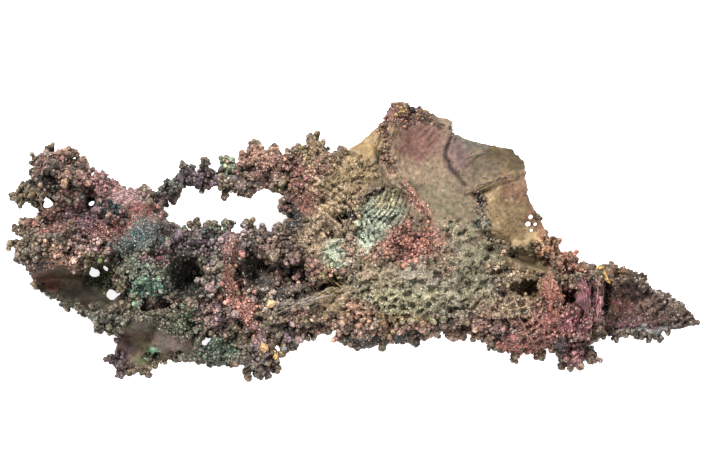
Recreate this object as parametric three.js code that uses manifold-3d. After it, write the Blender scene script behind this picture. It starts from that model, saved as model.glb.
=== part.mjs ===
// Hematite after goethite: one lacy, botryoidal specimen that lies on its back.
//
// Millimetres, +Z up from the surface it lies on. In plan it runs along X, from the knobbly crown in the
// west to the leaf-shaped tip in the east, and a thin smooth wing rises towards +Y. The body is a sheet of
// changing thickness with caves, hollows and windows in it, and a crust of round knobs fused to its edges
// and faces. Its origin is under the middle of its box, on the surface it lies on.
import * as THREE from "three";
import { mergeVertices } from "three/addons/utils/BufferGeometryUtils.js";
import Module from "manifold-3d";

const wasm = await Module();
wasm.setup();

// ---- Driving dimensions -----------------------------------------------------------------------------
const PLAN_LENGTH = 146; // the block that the sheet is cut from, along X
const PLAN_WIDTH = 62; // along Y
const COLUMNS = 38; // surface points of the sheet, along X
const ROWS = 16; // along Y
const STEP_X = PLAN_LENGTH / COLUMNS;
const STEP_Y = PLAN_WIDTH / ROWS;
const TOP_LEVEL = 15; // upper face before any hill or hollow
const UNDER_LEVEL = 5.5; // lower face before any hill or hollow
const GRIT = 0.7; // how far the upper face's points stray, except on the smooth wing
const LEAST_THICKNESS = 1.7; // floor of a cave
const RIM_THICKNESS = 1.4; // where the sheet thins out at its edge
const RIM_REACH = 4.2; // how far in from the edge the sheet reaches its full thickness
const WINDOW_REACH = 1.6; // the same, round a small window
const TALLEST = 60; // prism that cuts the outline, taller than anything
const PRISM_DROP = 15; // how far that prism starts below the ground
const KNOB_SINK = 0.25; // share of its radius that a knob sits into the crust
const KNOB_TURN = 3; // radians by which a knob's facets are turned at most
const ROUND_FROM = 2.2; // radius from which a knob is cut with the finer facets
const COARSE = 0; // an egg or a knob of 20 facets
const FINE = 1; // one of 80 facets
const STRAND_SIDES = 6;
const CRUST_INSET = 0.6; // how full the sheet is, from 0 to 1, where a knob may grow on a face
const MERGE_DISTANCE = 1e-4; // surface points closer than this are one
const STRAND_STEP = 3.2; // radii of a strand from one of its sections to the next
const CAVE_STALK = { width: 0.5, length: 3, drop: 2.5 }; // half sizes and fall, in radii of the knob on top
const SMOOTH_WING = { at: [19, 16], reach: [22, 17], rise: 1, level: 0.7 }; // the upper face has no grit here

// ---- Outline in plan, clockwise from the crown's west side ------------------------------------------
const CROWN = [[-62.8, 16.8], [-61.6, 17.8], [-60, 17.4], [-59, 16], [-58.2, 17.8], [-56, 18],
  [-54.4, 16.2], [-53.2, 13.6], [-52.6, 12.8]];
const CONE = [[-51.2, 13.4], [-49.6, 13.2], [-47.8, 11.8], [-45, 9.8]];
const LOOP_BAR = [[-43.2, 10.2], [-39.2, 10], [-37.6, 11.2], [-34.8, 12.8], [-33.4, 14], [-31.2, 14.6],
  [-28.4, 14], [-26, 14.2], [-23.6, 15.4], [-22.6, 17], [-20.8, 18.8], [-19.2, 19.2], [-17.2, 18.2],
  [-14.8, 18], [-12.4, 17.2], [-10.4, 18.4], [-9, 19.6], [-8.6, 21], [-7.8, 21.2], [-7, 19.6],
  [-5.6, 18.4], [-4.6, 17], [-1.8, 17.6]];
const WING = [[-0.4, 18.4], [1.4, 19.4], [2.4, 20.6], [4.8, 22.4], [5.6, 24], [8, 27.7], [9.2, 27.6],
  [12, 27], [15.8, 25.6], [17.2, 24.4], [19.2, 23.4], [20.4, 21.2], [22, 20.1], [26.8, 18.9],
  [31.8, 17.9], [34, 15.8], [34, 12.6], [34.6, 10], [34.8, 7.8], [36.6, 5.4], [37.8, 2.4],
  [39.8, 0.4], [41.2, -1.8], [43.2, -3.4], [45.8, -4.6]];
const TIP = [[49.2, -4.8], [54, -5.2], [56, -6.6], [58.4, -7.6], [59.4, -9.6], [63.6, -11.4],
  [67.2, -14.2], [68.4, -15.8], [69.6, -16.9], [67.6, -17.4], [63.2, -18], [59.2, -19.2],
  [55.2, -19.2], [50.8, -19], [48.4, -19.4]];
const TASSEL = [[47.6, -21], [47.2, -23.6], [45.2, -24.8], [42.4, -25.2], [41.6, -23], [39.6, -21.8],
  [37.2, -22.4], [33.2, -22.8], [30, -22.4], [27.2, -21.6], [26, -20.2]];
const HEM = [[23.2, -19.2], [18.8, -18.8], [15.2, -19], [11.6, -20], [6.2, -20.6], [0.4, -21.6],
  [-2.2, -21.4], [-3.2, -19.4], [-4.8, -18.2], [-7.2, -18.2], [-9.6, -19.4], [-12, -20],
  [-13.6, -22], [-15, -21], [-16, -19.6]];
const FOOT = [[-16.2, -21.4], [-15.2, -23.6], [-15.4, -25.8], [-17.6, -27.2], [-20.8, -27],
  [-22.4, -25.6], [-26.4, -25.2], [-30.8, -24.4], [-35.6, -24], [-39.2, -24.4]];
const APRON = [[-41.2, -25.2], [-42.8, -26.2], [-45.6, -26.2], [-48, -25.2], [-48.6, -23.4],
  [-47.6, -21.8], [-47.4, -19.2], [-48.4, -18], [-51, -18.4], [-52.6, -16.4], [-54, -14.6],
  [-55.6, -13.6], [-58.4, -12.4], [-60.8, -11.4], [-64.2, -9.2], [-64.8, -7.2], [-65.8, -4.8]];
const LOBE = [[-67, -2.8], [-66.8, 0], [-67.2, 2.2], [-65.6, 4], [-63.2, 4.2], [-62.2, 5.2],
  [-63.4, 6.4], [-65, 7.6], [-67.6, 7.4], [-68.4, 8.8], [-67.2, 10], [-65.6, 11.2], [-64.2, 12.6],
  [-64.4, 13.8], [-63, 15]];
const OUTLINE = [...CROWN, ...CONE, ...LOOP_BAR, ...WING, ...TIP, ...TASSEL, ...HEM, ...FOOT,
  ...APRON, ...LOBE];

// The loop's large opening, and the small windows right through the sheet.
const LOOP_HOLE = [[-38.2, 7], [-36.4, 7.6], [-34.8, 9.6], [-32.8, 10.8], [-30.8, 11.2],
  [-28.4, 10.6], [-25.6, 10], [-23.6, 10], [-20.8, 9.4], [-19.4, 10.2], [-18.4, 11.2],
  [-16.8, 10.6], [-14.8, 9.2], [-14.6, 7.2], [-13.2, 5.2], [-13.2, 3.4], [-15.4, 2.8],
  [-16.4, 1.4], [-18.4, 1.8], [-21.6, 2.2], [-23.6, 1.4], [-25.6, 2.2], [-28, 2.8],
  [-30.8, 2.6], [-33.2, 2.2], [-34.8, 2], [-36.4, 3.2], [-37.6, 4.4]];
const WINDOWS = [
  [[-62.6, 7.4], [-62, 7.8], [-61, 7.7], [-60, 7.2], [-60.6, 6.4], [-61.6, 6.3]],
  [[-53.2, 7.2], [-52.6, 8.2], [-51.4, 8.1], [-51.6, 7.4], [-52.4, 6.8]],
  [[-50.4, -5.6], [-49.8, -5], [-48.8, -5], [-49, -5.8], [-49.8, -6.4]],
  [[-53.2, -6.6], [-52.4, -6], [-51.2, -6.1], [-50.6, -6.8], [-51.4, -7.2], [-52.6, -7.2]],
  [[-49.6, -11], [-49.2, -10.2], [-48.2, -9.9], [-47, -10.2], [-46.6, -11.4], [-47.8, -11.6],
    [-48.2, -12.2], [-49.2, -11.8]],
  [[-30.6, -20], [-29.8, -19.2], [-28.2, -19.3], [-28.6, -20], [-29.6, -20.4], [-30, -21.2],
    [-30.5, -21]],
  [[28, -19], [28.6, -18.6], [30, -19.1], [30, -19.6], [28.8, -19.4]],
];

// ---- Relief -----------------------------------------------------------------------------------------
// A hill or hollow is an ellipse in plan: where it lies, how far it reaches, how much it lifts the face
// (down where negative), the share of its reach that is level, and its turn in degrees.
const UPPER_RELIEF = [
  { name: "crown", at: [-58.8, 12.4], reach: [8, 8], rise: 6, level: 0.3 },
  { name: "crown's west arm", at: [-65.4, 9.4], reach: [5, 4], rise: -2 },
  { name: "slope under the cone", at: [-47.2, 2.4], reach: [11, 6], rise: 4, turn: 25 },
  { name: "grey shoulder", at: [-42.8, 0.2], reach: [8.5, 4.5], rise: 5, turn: 30 },
  { name: "west lobe", at: [-61.6, -1], reach: [7.5, 7], rise: 7, level: 0.2 },
  { name: "violet valley", at: [-55.6, 2.6], reach: [6, 4], rise: -2 },
  { name: "basin of the apron", at: [-56.6, -9], reach: [9.5, 4.6], rise: -8.5, level: 0.55, turn: -20 },
  { name: "basin by the windows", at: [-51, -8.6], reach: [5.6, 5.4], rise: -7, level: 0.5 },
  { name: "green mass", at: [-41.2, -7], reach: [6.5, 9], rise: 6 },
  { name: "green band", at: [-40.8, -15.4], reach: [14, 4.5], rise: 3.5 },
  { name: "basin of the satin membrane", at: [-43.2, -22], reach: [6.5, 4.8], rise: -6, level: 0.5 },
  { name: "membrane's east end", at: [-34.8, -21.8], reach: [8, 3], rise: -5.5, level: 0.3 },
  { name: "loop's lower bar", at: [-29.8, -1], reach: [12, 4], rise: 3 },
  { name: "knobs beside the first cave", at: [-28.6, -7], reach: [4, 8], rise: 3.5 },
  { name: "foot", at: [-18.6, -24.2], reach: [5.5, 5], rise: 4 },
  { name: "boss", at: [9.4, -8.6], reach: [25, 14], rise: 8 },
  { name: "west flank of the boss", at: [-7.6, 3], reach: [6.5, 9], rise: 4 },
  { name: "loop bar's first lump", at: [-19.8, 14.6], reach: [6.5, 5], rise: 4 },
  { name: "loop bar's second lump", at: [-7, 13], reach: [5.5, 5], rise: 5.5, level: 0.3 },
  { name: "shade behind the lump", at: [-2, 12.6], reach: [2.6, 3.8], rise: -3 },
  { name: "wing's face", at: [17.2, 14], reach: [15, 14], rise: 2.5 },
  { name: "wing's east lobe", at: [29.4, 14.4], reach: [9, 8], rise: -3 },
  { name: "fold between the lobes", at: [19.8, 16.4], reach: [3.6, 9], rise: -1.6, turn: 8 },
  { name: "wing's south lobe", at: [32.4, 3], reach: [8, 7], rise: -1.4 },
  { name: "fibrous patch", at: [6.8, 5.4], reach: [6, 6.4], rise: -2 },
  { name: "coral grains", at: [11.4, 0], reach: [8, 6], rise: 1.6 },
  { name: "east mass", at: [35.4, -16.8], reach: [18, 9], rise: 5.5 },
  { name: "trough of the leaf", at: [54.2, -12.8], reach: [7.6, 5.4], rise: -8, level: 0.35 },
  { name: "trough's far end", at: [61.8, -14], reach: [6, 3.6], rise: -3.5, turn: -12 },
  { name: "leaf", at: [60, -13], reach: [15, 12], rise: -2 },
  { name: "tassel", at: [44.2, -23.4], reach: [5, 4], rise: -2 },
];
const UPPER_RIDGES = [
  { name: "crest of the cone",
    route: [[-51, 12.6], [-47.2, 10], [-42.8, 7.4], [-39.4, 4.4]],
    width: 5.5, rise: 7 },
  { name: "crest of the wing",
    route: [[8.2, 27.2], [7.4, 21], [6.8, 16], [8.4, 12]],
    width: 6, rise: 5 },
];
// Where the lower face would fall under z = 0 it is broken off flat, and the specimen rests there.
const UNDER_RELIEF = [
  { name: "scar where it grew from the rock", at: [4, -7], reach: [18, 11], rise: -10, level: 0.4 },
  { name: "west rest", at: [-57, 0], reach: [8, 8], rise: -9, level: 0.3 },
  { name: "south-west rest", at: [-40, -17], reach: [8, 6], rise: -9, level: 0.3 },
  { name: "middle rest", at: [-22, -16], reach: [8, 7], rise: -9, level: 0.3 },
  { name: "north rest", at: [-7, 8], reach: [7, 8], rise: -8.5, level: 0.3 },
  { name: "east rest", at: [42, -15], reach: [10, 6.5], rise: -9, level: 0.3 },
  { name: "back of the wing", at: [19.4, 17], reach: [27, 21], rise: 9.5, level: 0.55 },
  { name: "back of the south lobe", at: [34, 5], reach: [10, 12], rise: 7.5, level: 0.3 },
  { name: "under the loop's bar", at: [-27, 13], reach: [17, 7], rise: 3.5, level: 0.3 },
  { name: "under the crown", at: [-60, 13], reach: [9, 8], rise: 3.5 },
  { name: "under the leaf", at: [61, -14], reach: [14, 10], rise: 1.5 },
  { name: "hollow in the back", at: [-41, 0], reach: [9, 8], rise: 4.5, level: 0.3 },
  { name: "second hollow in the back", at: [24, -8], reach: [9, 8], rise: 4.5, level: 0.3, turn: -20 },
];
// Steep-sided hollows: an ellipse in plan, and how deep it goes from the face above it.
const HOLLOWS = [
  { name: "pit in the crown", at: [-60.8, 12], reach: [3.2, 2.4], depth: 6 },
  { name: "first cave", at: [-33.3, -7.4], reach: [4.4, 4.2], depth: 9.5, round: true },
  { name: "cleft in the green band", at: [-39.4, -13], reach: [3.8, 1.7], depth: 5 },
  { name: "second cave", at: [-19.4, -4.6], reach: [2.8, 5.4], depth: 8, round: true },
  { name: "third cave", at: [-12.2, -8.2], reach: [7.8, 3.8], depth: 9, turn: -8, round: true },
  { name: "cleft east of the caves", at: [-4.6, -8.2], reach: [3.4, 1.6], depth: 5, turn: -38 },
  { name: "crevice", at: [35.6, -4.1], reach: [6.6, 1.6], depth: 6, turn: -17 },
  { name: "first hollow", at: [34.8, -9.6], reach: [4.7, 2.5], depth: 10, turn: -6, round: true },
  { name: "second hollow", at: [43.2, -11.2], reach: [3.2, 3], depth: 9.5, round: true },
  { name: "third hollow", at: [44, -6.8], reach: [2.4, 1.5], depth: 3 },
];

const smoothstep = (low, high, value) => {
  const share = THREE.MathUtils.clamp((value - low) / (high - low), 0, 1);
  return share * share * (3 - 2 * share);
};

function distanceToSegment(x, y, [ax, ay], [bx, by]) {
  const [dx, dy] = [bx - ax, by - ay];
  const along = THREE.MathUtils.clamp(((x - ax) * dx + (y - ay) * dy) / (dx * dx + dy * dy), 0, 1);
  return Math.hypot(x - ax - along * dx, y - ay - along * dy);
}

function distanceToRoute(x, y, route, closed = false) {
  const ends = closed ? [...route, route[0]] : route;
  return Math.min(...ends.slice(1).map((end, i) => distanceToSegment(x, y, ends[i], end)));
}

function hillAt(x, y, { at, reach, rise, level = 0, turn = 0 }) {
  const angle = THREE.MathUtils.degToRad(turn);
  const [dx, dy] = [x - at[0], y - at[1]];
  const across = (dx * Math.cos(angle) + dy * Math.sin(angle)) / reach[0];
  const up = (dy * Math.cos(angle) - dx * Math.sin(angle)) / reach[1];
  return rise * (1 - smoothstep(level, 1, Math.hypot(across, up)));
}

function insideLoop(x, y, loop) {
  let inside = false;
  loop.forEach(([ax, ay], i) => {
    const [bx, by] = loop[(i + 1) % loop.length];
    if (ay > y !== by > y && x < ax + ((y - ay) * (bx - ax)) / (by - ay)) inside = !inside;
  });
  return inside;
}

// A scatter that looks random from one surface point to the next, and fades out on the wing.
function gritAt(x, y) {
  const scatter = Math.sin(1.9 * x + 2.3 * Math.sin(1.1 * y)) * Math.cos(2.1 * y - 0.7 * x);
  return GRIT * (1 - hillAt(x, y, SMOOTH_WING)) * scatter;
}

const insideBody = (x, y) =>
  insideLoop(x, y, OUTLINE) && !insideLoop(x, y, LOOP_HOLE) && !WINDOWS.some((w) => insideLoop(x, y, w));

// 0 at the sheet's edge, rising along a quarter circle to 1 where the sheet has its full thickness.
function fullness(x, y) {
  if (!insideBody(x, y)) return 0;
  const share = Math.min(
    1,
    distanceToRoute(x, y, OUTLINE, true) / RIM_REACH,
    distanceToRoute(x, y, LOOP_HOLE, true) / RIM_REACH,
    ...WINDOWS.map((w) => distanceToRoute(x, y, w, true) / WINDOW_REACH),
  );
  return Math.sqrt(1 - (1 - share) ** 2);
}

// Heights of the lower and upper face at a place in plan, as the relief asks for them.
function reliefAt(x, y) {
  const lower = UNDER_RELIEF.reduce((z, hill) => z + hillAt(x, y, hill), UNDER_LEVEL);
  let upper = UPPER_RELIEF.reduce((z, hill) => z + hillAt(x, y, hill), TOP_LEVEL + gritAt(x, y));
  for (const { route, width, rise } of UPPER_RIDGES)
    upper += rise * (1 - smoothstep(0, width, distanceToRoute(x, y, route)));
  upper = Math.max(upper, lower + LEAST_THICKNESS);
  const middle = (upper + lower) / 2;
  const half = RIM_THICKNESS / 2 + ((upper - lower) / 2 - RIM_THICKNESS / 2) * fullness(x, y);
  return { lower: middle - half, upper: middle + half };
}

// The same heights on the faceted sheet, between the surface points where it follows the relief.
function facesAt(x, y) {
  const column = (x + PLAN_LENGTH / 2) / STEP_X;
  const row = (y + PLAN_WIDTH / 2) / STEP_Y;
  const [west, south] = [Math.floor(column), Math.floor(row)];
  const corner = (i, j) => reliefAt(i * STEP_X - PLAN_LENGTH / 2, j * STEP_Y - PLAN_WIDTH / 2);
  const [sw, se, nw, ne] = [corner(west, south), corner(west + 1, south), corner(west, south + 1),
    corner(west + 1, south + 1)];
  const mix = THREE.MathUtils.lerp;
  const between = (face) =>
    mix(mix(sw[face], se[face], column - west), mix(nw[face], ne[face], column - west), row - south);
  return { lower: between("lower"), upper: between("upper") };
}

// ---- Knobs ------------------------------------------------------------------------------------------
// Knobs that stand out from the edge, clockwise: place in plan, radius, and height as a share of the sheet.
const EDGE_KNOBS = [
  [-61, 18.2, 1.3, 0.6], [-57.2, 17.6, 1.8, 0.5], [-54.8, 16, 1.4, 0.4], [-63.8, 15.8, 1.3, 0.7],
  [-67.6, 8.8, 1.6, 0.5], [-51, 13, 1.6, 0.5], [-37.4, 11.2, 1.2, 0.4], [-33.6, 14.5, 1.4, 0.6],
  [-30, 14.6, 1.6, 0.5], [-25.2, 14.9, 1.5, 0.4], [-20, 18, 1.9, 0.5], [-15.6, 17.8, 1.5, 0.6],
  [-10.2, 18.2, 1.5, 0.5], [-8.2, 20.4, 1.5, 0.5], [-6.4, 18.4, 1.7, 0.6], [18.6, 23.2, 1.2, 0.6],
  [43.4, -3.8, 1.3, 0.6], [57.9, -7, 1.3, 0.6], [59, -19.4, 1.5, 0.4], [52, -19.3, 1.4, 0.5],
  [47.4, -23.4, 1.6, 0.5], [43, -25, 1.8, 0.4], [37.8, -22.6, 1.5, 0.5], [32, -22.9, 1.5, 0.5],
  [27.6, -21, 1.8, 0.5], [-12.6, -20.8, 1.4, 0.6], [-21.4, -26.6, 1.5, 0.5], [-17.4, -27, 1.7, 0.6],
  [-41.6, -25.8, 1.4, 0.5], [-46.6, -26, 1.8, 0.5], [-48.8, -23.8, 1.4, 0.6], [-54.6, -14.3, 1.6, 0.5],
  [-57.6, -13, 1.3, 0.5], [-63.8, -9.2, 1.3, 0.5], [-66, -4.4, 1.6, 0.5], [-66.6, 2.8, 1.6, 0.5],
  // round the loop's opening
  [-36.6, 8, 1.2, 0.5], [-22.9, 10, 1.5, 0.5], [-14.4, 7, 1.4, 0.5], [-15.6, 2.6, 1.3, 0.6],
];
// Stubs that stand clear of the edge: where each leaves it, where it ends, and its radius.
const STUBS = [
  { name: "west stub", root: [-66.2, -0.6], tip: [-70, -0.9], r: 1.1 },
  { name: "hanging knob in the loop", root: [-30.4, 11.4], tip: [-30.5, 9.3], r: 1.1 },
  { name: "long hanging knob in the loop", root: [-25.8, 10.6], tip: [-25.6, 7.9], r: 1.1 },
  { name: "first stub in the loop", root: [-31.6, 1.6], tip: [-31.8, 4.8], r: 0.9 },
  { name: "second stub in the loop", root: [-28, 1.6], tip: [-27.8, 4.7], r: 0.9 },
  { name: "third stub in the loop", root: [-24.6, 1.2], tip: [-24.6, 4.1], r: 0.9 },
  { name: "fourth stub in the loop", root: [-20.8, 1], tip: [-20.9, 4.3], r: 1 },
  { name: "stub on the hem", root: [12.8, -19.2], tip: [12.8, -22], r: 1 },
];
// Large single knobs on the upper face: place in plan, height above the face, and radius.
const GREAT_KNOBS = [
  { name: "knot on the cone", at: [-47.6, 5.8], lift: 0.4, r: 2.4 },
  { name: "clump over the caves", at: [-17, -1.2], lift: 1.6, r: 2.7 },
  { name: "second clump", at: [-12.6, -1.8], lift: 1.2, r: 2.3 },
  { name: "hummock between the caves and the boss", at: [-7.6, -6.4], lift: 1, r: 2.6 },
];
// Crusts of knobs on the two faces: ellipse in plan, how many, and their smallest and largest radius.
const UPPER_CRUSTS = [
  { name: "crown", at: [-59.5, 13], reach: [6, 5], count: 5, radii: [1.5, 2.15] },
  { name: "west arm", at: [-65, 9], reach: [3.4, 2], count: 1, radii: [1.1, 1.5] },
  { name: "west lobe", at: [-62, -0.6], reach: [4.6, 4.6], count: 4, radii: [1.5, 2.15] },
  { name: "loop's bar", at: [-31, 12], reach: [8, 2.4], count: 3, radii: [1.4, 1.9] },
  { name: "loop bar's lumps", at: [-14, 14.5], reach: [11, 3.4], count: 5, radii: [1.5, 2.15] },
  { name: "loop's lower bar", at: [-28, -0.6], reach: [11, 2.6], count: 4, radii: [1.4, 1.9] },
  { name: "green mass", at: [-42, -7], reach: [4.4, 7], count: 3, radii: [1.4, 2] },
  { name: "green band", at: [-42, -15.6], reach: [13, 3], count: 3, radii: [1.2, 1.8] },
  { name: "beside the first cave", at: [-27.6, -8], reach: [2.4, 6.4], count: 3, radii: [1.2, 1.8] },
  { name: "foot", at: [-18.8, -23.4], reach: [4, 4], count: 3, radii: [1.5, 2.1] },
  { name: "south of the caves", at: [-9, -16], reach: [7, 2.6], count: 3, radii: [1.3, 2] },
  { name: "boss", at: [8, -9], reach: [16, 8], count: 4, radii: [1.5, 2.1] },
  { name: "hem", at: [12, -17.4], reach: [14, 1.6], count: 3, radii: [1.1, 1.8] },
  { name: "east mass", at: [36, -18.4], reach: [10, 3.6], count: 4, radii: [1.5, 2.15] },
  { name: "tassel", at: [44, -22.4], reach: [3, 2.2], count: 2, radii: [1.2, 1.7] },
  { name: "leaf's upper rim", at: [51, -6.4], reach: [5, 1.4], count: 2, radii: [1, 1.4] },
  { name: "leaf's lower rim", at: [55, -18], reach: [8, 0.9], count: 2, radii: [1, 1.4] },
];
const UNDER_CRUSTS = [
  { name: "back of the west", at: [-58, 2], reach: [8, 10], count: 3, radii: [1.5, 2.15] },
  { name: "back of the middle", at: [-26, -9], reach: [13, 10], count: 3, radii: [1.5, 2.15] },
  { name: "back of the boss", at: [6, -8], reach: [17, 9], count: 3, radii: [1.5, 2.15] },
  { name: "back of the east", at: [44, -14], reach: [12, 6], count: 2, radii: [1.4, 2.1] },
];
// Strands and ropes: route with each point's height above the upper face, and thickness.
const STRANDS = [
  { name: "rose rope",
    route: [[-25.2, 1, 0], [-26.4, -4.4, 2], [-25.4, -9, 2], [-22.8, -13, 2], [-20, -18, 0]],
    r: 1.8 },
  { name: "twig bundle",
    route: [[-18.4, -14.4, 0], [-12.8, -13.2, 1.4], [-7.2, -11.6, 1.4], [-3.8, -9.8, 0]],
    r: 1.1 },
  { name: "vein", route: [[22.4, 9, -0.2], [28.2, 11.6, 0.2], [33.4, 13.2, -0.2]], r: 0.8 },
  { name: "coral scarp", route: [[9, 11.4, 0], [12.6, 8.2, 0.4], [15.2, 4, 0]], r: 0.9 },
  { name: "pink column",
    route: [[48.6, -8, 0.5], [48.9, -11, 3], [48.7, -14.5, 3.5], [48.4, -18, 0.5]],
    r: 0.9 },
  { name: "column between the hollows",
    route: [[39.6, -6, 0], [39.2, -9.5, 1], [39.8, -13.5, 0.6], [39.4, -16.5, 0]],
    r: 1.4 },
  { name: "edge of the curtain",
    route: [[45, -7, 0], [46.2, -11, 3.5], [46.6, -15.5, 1.5], [46.2, -18, 0]],
    r: 0.9 },
  { name: "strut in the third cave",
    route: [[-18.8, -12.6, 0], [-14, -11, -1.5], [-9.4, -9.2, -1.5], [-6, -8.4, 0]],
    r: 0.8 },
];
// Two bits of yellow ochre that stuck to it: place in plan, height above the face, half sizes and turn.
const OCHRE = [
  { name: "splinter", at: [50, -7], lift: 0.3, reach: [2.2, 0.7, 1], turn: -65 },
  { name: "crumb", at: [-16.6, -12.8], lift: 0, reach: [1.2, 1, 1.6], turn: 20 },
];
// Round knobs on short stalks inside the third cave: place in plan, depth under the face, and radius.
const CAVE_KNOBS = [
  [-15.2, -6.8, 5, 1.1], [-13.8, -9.8, 4.5, 1.2], [-10.8, -7, 4, 1.2], [-17.4, -8.4, 5, 1.1],
];

const SCRAMBLE = { factor: 16807, modulus: 2147483647, shades: 100000 };
let seed = 41;
function random(low = 0, high = 1) {
  seed = (seed * SCRAMBLE.factor) % SCRAMBLE.modulus;
  return low + ((high - low) * (seed % SCRAMBLE.shades)) / SCRAMBLE.shades;
}

// ---- From three.js geometry to a solid and back -----------------------------------------------------
function solidOf(geometry) {
  const bare = geometry.index ? geometry.toNonIndexed() : geometry.clone();
  bare.deleteAttribute("normal");
  bare.deleteAttribute("uv");
  const merged = mergeVertices(bare, MERGE_DISTANCE);
  return new wasm.Manifold(
    new wasm.Mesh({
      numProp: 3,
      vertProperties: merged.attributes.position.array,
      triVerts: new Uint32Array(merged.index.array),
    }),
  );
}

function geometryOf(solid) {
  const mesh = solid.getMesh();
  const geometry = new THREE.BufferGeometry();
  geometry.setAttribute("position", new THREE.BufferAttribute(new Float32Array(mesh.vertProperties), 3));
  geometry.setIndex(new THREE.BufferAttribute(new Uint32Array(mesh.triVerts), 1));
  geometry.computeVertexNormals();
  return geometry;
}

const path = (points, Kind) => new Kind(points.map(([x, y]) => new THREE.Vector2(x, y)));

// ---- The sheet: a block whose two faces follow the relief, cut to the outline and its windows -------
function sheet() {
  const block = new THREE.BoxGeometry(PLAN_LENGTH, PLAN_WIDTH, 1, COLUMNS, ROWS, 1);
  const places = block.attributes.position;
  for (let i = 0; i < places.count; i++) {
    const { lower, upper } = reliefAt(places.getX(i), places.getY(i));
    places.setZ(i, places.getZ(i) > 0 ? upper : lower);
  }
  const outline = path([...OUTLINE].reverse(), THREE.Shape);
  outline.holes = [LOOP_HOLE, ...WINDOWS].map((points) => path(points, THREE.Path));
  const prism = new THREE.ExtrudeGeometry(outline, { depth: TALLEST, bevelEnabled: false });
  prism.translate(0, 0, -PRISM_DROP);
  return solidOf(block).intersect(solidOf(prism));
}

function ball(x, y, z, r) {
  const geometry = new THREE.IcosahedronGeometry(r, r < ROUND_FROM ? COARSE : FINE);
  geometry.rotateX(random(0, KNOB_TURN));
  geometry.rotateZ(random(0, KNOB_TURN));
  geometry.translate(x, y, z);
  return solidOf(geometry);
}

// A strand along a smooth curve.
function strand(points, r) {
  const section = new THREE.Shape();
  for (let i = 0; i < STRAND_SIDES; i++) {
    const angle = (i * 2 * Math.PI) / STRAND_SIDES;
    section[i ? "lineTo" : "moveTo"](r * Math.cos(angle), r * Math.sin(angle));
  }
  const curve = new THREE.CatmullRomCurve3(points.map((p) => new THREE.Vector3(...p)));
  const steps = Math.max(2, Math.round(curve.getLength() / (STRAND_STEP * r)));
  return solidOf(new THREE.ExtrudeGeometry(section, { steps, extrudePath: curve }));
}

// An egg: a ball stretched by one amount along each axis.
function egg([x, y, z], [rx, ry, rz], turn = 0, detail = COARSE) {
  const geometry = new THREE.IcosahedronGeometry(1, detail);
  geometry.scale(rx, ry, rz);
  geometry.rotateZ(THREE.MathUtils.degToRad(turn));
  geometry.translate(x, y, z);
  return solidOf(geometry);
}

function edgeKnobs() {
  return EDGE_KNOBS.map(([x, y, r, share]) => {
    const { lower, upper } = facesAt(x, y);
    return ball(x, y, THREE.MathUtils.lerp(lower, upper, share), r);
  });
}

// A stub is an egg that lies along its root and tip.
function stubs() {
  return STUBS.map(({ root, tip, r }) => {
    const { lower, upper } = facesAt(...root);
    const [dx, dy] = [tip[0] - root[0], tip[1] - root[1]];
    const centre = [root[0] + dx / 2, root[1] + dy / 2, (lower + upper) / 2];
    const angle = THREE.MathUtils.radToDeg(Math.atan2(dy, dx));
    return egg(centre, [Math.hypot(dx, dy) / 2, r, r], angle);
  });
}

function greatKnobs() {
  return GREAT_KNOBS.map(({ at, lift, r }) => ball(...at, facesAt(...at).upper + lift, r));
}

function crust({ at, reach, count, radii }, side) {
  const knobs = [];
  while (knobs.length < count) {
    const angle = random(0, 2 * Math.PI);
    const out = Math.sqrt(random());
    const x = at[0] + reach[0] * out * Math.cos(angle);
    const y = at[1] + reach[1] * out * Math.sin(angle);
    if (fullness(x, y) < CRUST_INSET) continue;
    const r = random(...radii);
    const sink = side === "upper" ? -KNOB_SINK * r : KNOB_SINK * r;
    knobs.push(ball(x, y, facesAt(x, y)[side] + sink, r));
  }
  return knobs;
}

function strands() {
  return STRANDS.map(({ route, r }) =>
    strand(route.map(([x, y, lift]) => [x, y, facesAt(x, y).upper + lift]), r),
  );
}

// A ball on a thin egg that is tall enough to stand on the cave's floor.
function caveKnobs() {
  const { width, length, drop } = CAVE_STALK;
  return CAVE_KNOBS.flatMap(([x, y, depth, r]) => {
    const z = facesAt(x, y).upper - depth;
    return [ball(x, y, z, r), egg([x, y, z - drop * r], [width * r, width * r, length * r])];
  });
}

const ochre = () =>
  OCHRE.map(({ at, lift, reach, turn }) => egg([...at, facesAt(...at).upper + lift], reach, turn));

function hollows() {
  return HOLLOWS.map(({ at, reach, depth, turn, round }) =>
    egg([...at, facesAt(...at).upper], [...reach, depth], turn, round ? FINE : COARSE),
  );
}

function specimenSolid() {
  const hollowed = sheet().subtract(wasm.Manifold.union(hollows()));
  const whole = wasm.Manifold.union([
    hollowed,
    ...edgeKnobs(),
    ...stubs(),
    ...greatKnobs(),
    ...UPPER_CRUSTS.flatMap((field) => crust(field, "upper")),
    ...UNDER_CRUSTS.flatMap((field) => crust(field, "lower")),
    ...strands(),
    ...caveKnobs(),
    ...ochre(),
  ]);
  const ground = new THREE.BoxGeometry(2 * PLAN_LENGTH, 2 * PLAN_WIDTH, TALLEST);
  ground.translate(0, 0, -TALLEST / 2);
  return whole.subtract(solidOf(ground));
}

const hematite = new THREE.MeshStandardMaterial({ color: 0x8a7263, roughness: 0.55, metalness: 0.2 });

const group = new THREE.Group();
const specimen = new THREE.Mesh(geometryOf(specimenSolid()), hematite);
specimen.name = "specimen";
const middle = new THREE.Box3().setFromObject(specimen).getCenter(new THREE.Vector3());
specimen.position.set(-middle.x, -middle.y, 0);
group.add(specimen);

export default group;
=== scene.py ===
import math
import random
from collections import namedtuple

import bmesh
import bpy
import numpy as np
from mathutils import Matrix, Vector, noise
from mathutils.bvhtree import BVHTree


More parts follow.
